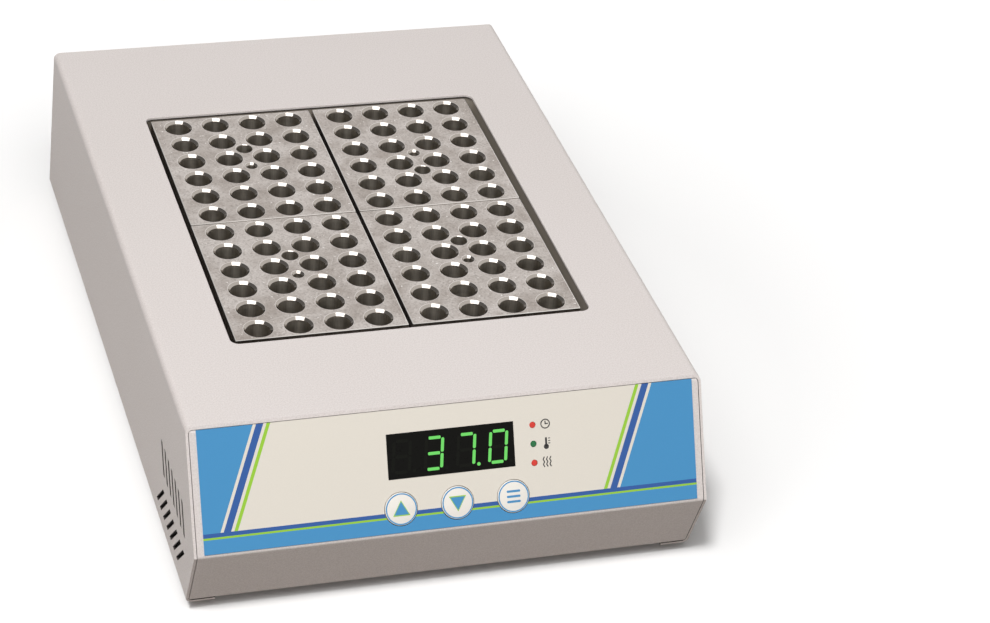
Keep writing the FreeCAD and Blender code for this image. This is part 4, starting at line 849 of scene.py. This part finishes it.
def make_block_mesh(size):
    """Billet with its top face at z = 0, bored by a boolean with the spun cutter."""
    billet = bmesh.new()
    bmesh.ops.create_cube(billet, size=1.0, matrix=Matrix.Diagonal((*size, 1)))
    bmesh.ops.translate(billet, verts=billet.verts, vec=(0, 0, -size.z / 2))
    rim = [e for e in billet.edges if min(v.co.z for v in e.verts) > -BLOCK_EDGE]
    upright = [e for e in billet.edges if abs((e.verts[0].co - e.verts[1].co).z) > size.z / 2]
    bmesh.ops.bevel(
        billet, geom=rim + upright, offset=BLOCK_EDGE, segments=2, profile=0.5,
        affect="EDGES", clamp_overlap=True, material=-1,
    )
    cutter = bmesh.new()
    for i in range(WELL_COLUMNS):
        for j in range(WELL_ROWS):
            add_bore(
                cutter, (i - (WELL_COLUMNS - 1) / 2) * WELL_PITCH[0],
                (j - (WELL_ROWS - 1) / 2) * WELL_PITCH[1],
                WELL_RADIUS, WELL_MOUTH, WELL_DEPTH, WELL_CORNER, WELL_STEPS,
            )
    add_bore(
        cutter, 0, WELL_PITCH[1], PROBE_RADIUS, PROBE_MOUTH, WELL_DEPTH, PROBE_CORNER,
        PROBE_STEPS,
    )
    add_bore(cutter, 0, 0, LIFT_RADIUS, LIFT_MOUTH, LIFT_DEPTH, LIFT_CORNER, LIFT_STEPS)
    bmesh.ops.remove_doubles(cutter, verts=cutter.verts, dist=MERGE)
    bmesh.ops.recalc_face_normals(cutter, faces=cutter.faces)
    objects = []
    for name, bm in (("billet", billet), ("cutter", cutter)):
        mesh = bpy.data.meshes.new(name)
        bm.to_mesh(mesh)
        bm.free()
        made = bpy.data.objects.new(name, mesh)
        bpy.context.scene.collection.objects.link(made)
        objects.append(made)
    carve = objects[0].modifiers.new("bores", "BOOLEAN")
    carve.operation = "DIFFERENCE"
    carve.solver = "EXACT"
    carve.object = objects[1]
    bpy.context.view_layer.update()
    graph = bpy.context.evaluated_depsgraph_get()
    bored = bpy.data.meshes.new_from_object(objects[0].evaluated_get(graph))
    for made in objects:
        bpy.data.objects.remove(made)
    return bored


def make_blocks():
    """Four bored billets, the rear right one turned half round."""
    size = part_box("heat_block_front_left")[1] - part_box("block_floor_front_left")[0]
    bored = make_block_mesh(size)
    for short in ("rear_left", "rear_right", "front_left", "front_right"):
        low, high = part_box(f"heat_block_{short}")
        middle = (low + high) / 2
        bm = bmesh.new()
        bm.from_mesh(bored)
        half = (size / 2).xy
        for face in bm.faces:
            spot = face.calc_center_median()
            inside = abs(spot.x) < half.x - MM and abs(spot.y) < half.y - MM
            if inside and -size.z + MM < spot.z < WELL_RADIUS - WELL_MOUTH - RIM_DIP:
                face.material_index = WALL
            elif RIM_LEAST < face.normal.z < LEVEL_LEAST:
                face.material_index = RIM
            elif MOUTH_LEAST < face.normal.z < RIM_LEAST:
                face.material_index = MOUTH
        smooth_below(bm, 20)
        turn = math.pi if short == "rear_right" else 0.0
        place = Matrix.Translation((middle.x, middle.y, high.z)) @ Matrix.Rotation(turn, 4, "Z")
        bmesh.ops.transform(bm, matrix=place, verts=bm.verts)
        made = piece(
            bm, f"heat_block_{short}_bored", f"block_{short}",
            [top_metal, bore_metal, mouth_metal, rim_burnish_and_highlight],
        )
        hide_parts(f"heat_block_{short}", f"block_floor_{short}")


make_blocks()


# Rear panel fittings and feet, with the width of their rounded edges in millimetres
FOOT_EDGE = 0.6 * MM
for node, body, look, slot, edge in (
    ("power_inlet", HOUSING, black, "black_plastic", 0.35),
    ("switch_body", HOUSING, black, "black_plastic", 0.3),
    ("fuse_drawer", "drawer", black, "black_plastic", 0.4),
    ("inlet_pins", HOUSING, slot_finishes["brass_pins"], "brass_pins", 0.35),
    ("power_rocker", "rocker", rocker_black, "rocker_black", 0.3),
):
    dress(node, body, look, edge * MM)
dress("rubber_feet", HOUSING, rubber, FOOT_EDGE, 3)


# Studio: pale floor that keeps the shadow, white surround, soft lamps. Places in metres
FLOOR_BOUNCE = (0.31, 0.275, 0.247, 1)
FLOOR_SEEN = (0.92, 0.915, 0.91, 1)
FLOOR_LIFT = (0.04, 0.9)
FLOOR_REACH = (0.22, 0.9)
WORLD_LIGHT = 0.1
WORLD_SHEEN = (0.2, 1.0)
LIGHT_PLACE = (-0.366, -0.784, 1.287)
DISTANT_PLACE = (-0.46, -0.5, 1.4)
SOFTBOX_WATTS = 12
DISTANT_STRENGTH = 2.0
SOFTBOX_SIZE = (1.3, 0.72)
DISTANT_SPREAD = math.radians(10)
LIGHT_TARGET = Vector((0, 0, 0.04))
FLOOR_HALF = 8.0
WORLD_TINT = (1.0, 0.98, 0.96, 1)
SHEEN_SPAN = (-0.6, 0.1)
CAMERA_PLACE = (-0.34415, -1.14456, 0.84182)
CAMERA_RIGHT = (0.95440567, -0.28558573, 0.08689418)
CAMERA_UP = (0.09131449, 0.556445, 0.82585145)
CAMERA_BACK = (-0.28420323, -0.78026261, 0.55715238)
CAMERA_LENS = 108.66
CAMERA_SENSOR = 36.0


def either_ray(tree, rays):
    """1 for any of the named kinds of ray."""
    path = tree.nodes.new("ShaderNodeLightPath")
    seen = path.outputs[rays[0]]
    for ray in rays[1:]:
        either = tree.nodes.new("ShaderNodeMath")
        either.operation = "MAXIMUM"
        tree.links.new(seen, either.inputs[0])
        tree.links.new(path.outputs[ray], either.inputs[1])
        seen = either.outputs[0]
    return seen


def make_floor():
    """Pale floor, whiter to the camera with distance and dimmer as a source of light."""
    bm = bmesh.new()
    bmesh.ops.create_grid(bm, x_segments=1, y_segments=1, size=FLOOR_HALF)
    mesh = bpy.data.meshes.new("floor")
    bm.to_mesh(mesh)
    bm.free()
    floor = bpy.data.objects.new("floor", mesh)
    bpy.context.scene.collection.objects.link(floor)
    material = bpy.data.materials.new("floor_white")
    material.use_nodes = True
    tree = material.node_tree
    shader = tree.nodes["Principled BSDF"]
    shader.inputs["Roughness"].default_value = 0.9
    shader.inputs["Specular IOR Level"].default_value = 0.0
    seen = either_ray(tree, ("Is Camera Ray", "Is Glossy Ray"))
    tone = tree.nodes.new("ShaderNodeMix")
    tone.data_type = "RGBA"
    plain, bright = [s for s in tone.inputs if s.type == "RGBA"]
    plain.default_value = FLOOR_BOUNCE
    bright.default_value = FLOOR_SEEN
    tree.links.new(seen, tone.inputs["Factor"])
    tinted = next(s for s in tone.outputs if s.type == "RGBA")
    tree.links.new(tinted, shader.inputs["Base Color"])
    place = tree.nodes.new("ShaderNodeTexCoord")
    reach = tree.nodes.new("ShaderNodeVectorMath")
    reach.operation = "LENGTH"
    tree.links.new(place.outputs["Object"], reach.inputs[0])
    paler = tree.nodes.new("ShaderNodeMapRange")
    for name, value in zip(("From Min", "From Max", "To Min", "To Max"), FLOOR_REACH + FLOOR_LIFT):
        paler.inputs[name].default_value = value
    tree.links.new(reach.outputs["Value"], paler.inputs["Value"])
    lift = tree.nodes.new("ShaderNodeMath")
    lift.operation = "MULTIPLY"
    tree.links.new(seen, lift.inputs[0])
    tree.links.new(paler.outputs["Result"], lift.inputs[1])
    shader.inputs["Emission Color"].default_value = (1, 1, 1, 1)
    tree.links.new(lift.outputs[0], shader.inputs["Emission Strength"])
    mesh.materials.append(material)


def make_world():
    """White to the camera, dim as light, and for gloss a studio that is darker on the left."""
    world = bpy.data.worlds.new("studio")
    bpy.context.scene.world = world
    world.use_nodes = True
    tree = world.node_tree
    background = tree.nodes["Background"]
    background.inputs["Color"].default_value = WORLD_TINT

    def stretch(value, low, high, span=(0.0, 1.0)):
        node = tree.nodes.new("ShaderNodeMapRange")
        for name, number in zip(("From Min", "From Max"), span):
            node.inputs[name].default_value = number
        for name, number in (("To Min", low), ("To Max", high)):
            if isinstance(number, float):
                node.inputs[name].default_value = number
            else:
                tree.links.new(number, node.inputs[name])
        tree.links.new(value, node.inputs["Value"])
        return node.outputs["Result"]

    place = tree.nodes.new("ShaderNodeTexCoord")
    side = tree.nodes.new("ShaderNodeSeparateXYZ")
    tree.links.new(place.outputs["Generated"], side.inputs["Vector"])
    sheen = stretch(side.outputs["X"], *WORLD_SHEEN, SHEEN_SPAN)
    light = stretch(either_ray(tree, ("Is Glossy Ray",)), WORLD_LIGHT, sheen)
    seen = either_ray(tree, ("Is Camera Ray", "Is Transmission Ray"))
    tree.links.new(stretch(seen, light, 1.0), background.inputs["Strength"])


def aim(light, place):
    """Lamp at a place, turned to the part's middle."""
    lamp = bpy.data.objects.new(light.name, light)
    lamp.location = place
    lamp.rotation_euler = (LIGHT_TARGET - Vector(place)).to_track_quat("-Z", "Y").to_euler()
    bpy.context.scene.collection.objects.link(lamp)
    return lamp


def light_studio():
    """Wide softbox above the front left, and a distant light from farther to the left."""
    softbox = bpy.data.lights.new("softbox", "AREA")
    softbox.shape = "RECTANGLE"
    softbox.size, softbox.size_y = SOFTBOX_SIZE
    softbox.energy = SOFTBOX_WATTS
    aim(softbox, LIGHT_PLACE)
    distant = bpy.data.lights.new("distant_light", "SUN")
    distant.angle = DISTANT_SPREAD
    distant.energy = DISTANT_STRENGTH
    aim(distant, DISTANT_PLACE).visible_glossy = False


def make_camera():
    """Camera at the photograph's place and angle."""
    data = bpy.data.cameras.new("camera")
    data.lens = CAMERA_LENS
    data.sensor_width = CAMERA_SENSOR
    camera = bpy.data.objects.new("camera", data)
    turned = Matrix((CAMERA_RIGHT, CAMERA_UP, CAMERA_BACK)).transposed().to_4x4()
    camera.matrix_world = Matrix.Translation(CAMERA_PLACE) @ turned
    bpy.context.scene.collection.objects.link(camera)
    bpy.context.scene.camera = camera


make_floor()
make_world()
light_studio()
make_camera()
bpy.context.scene.view_settings.view_transform = "Standard"
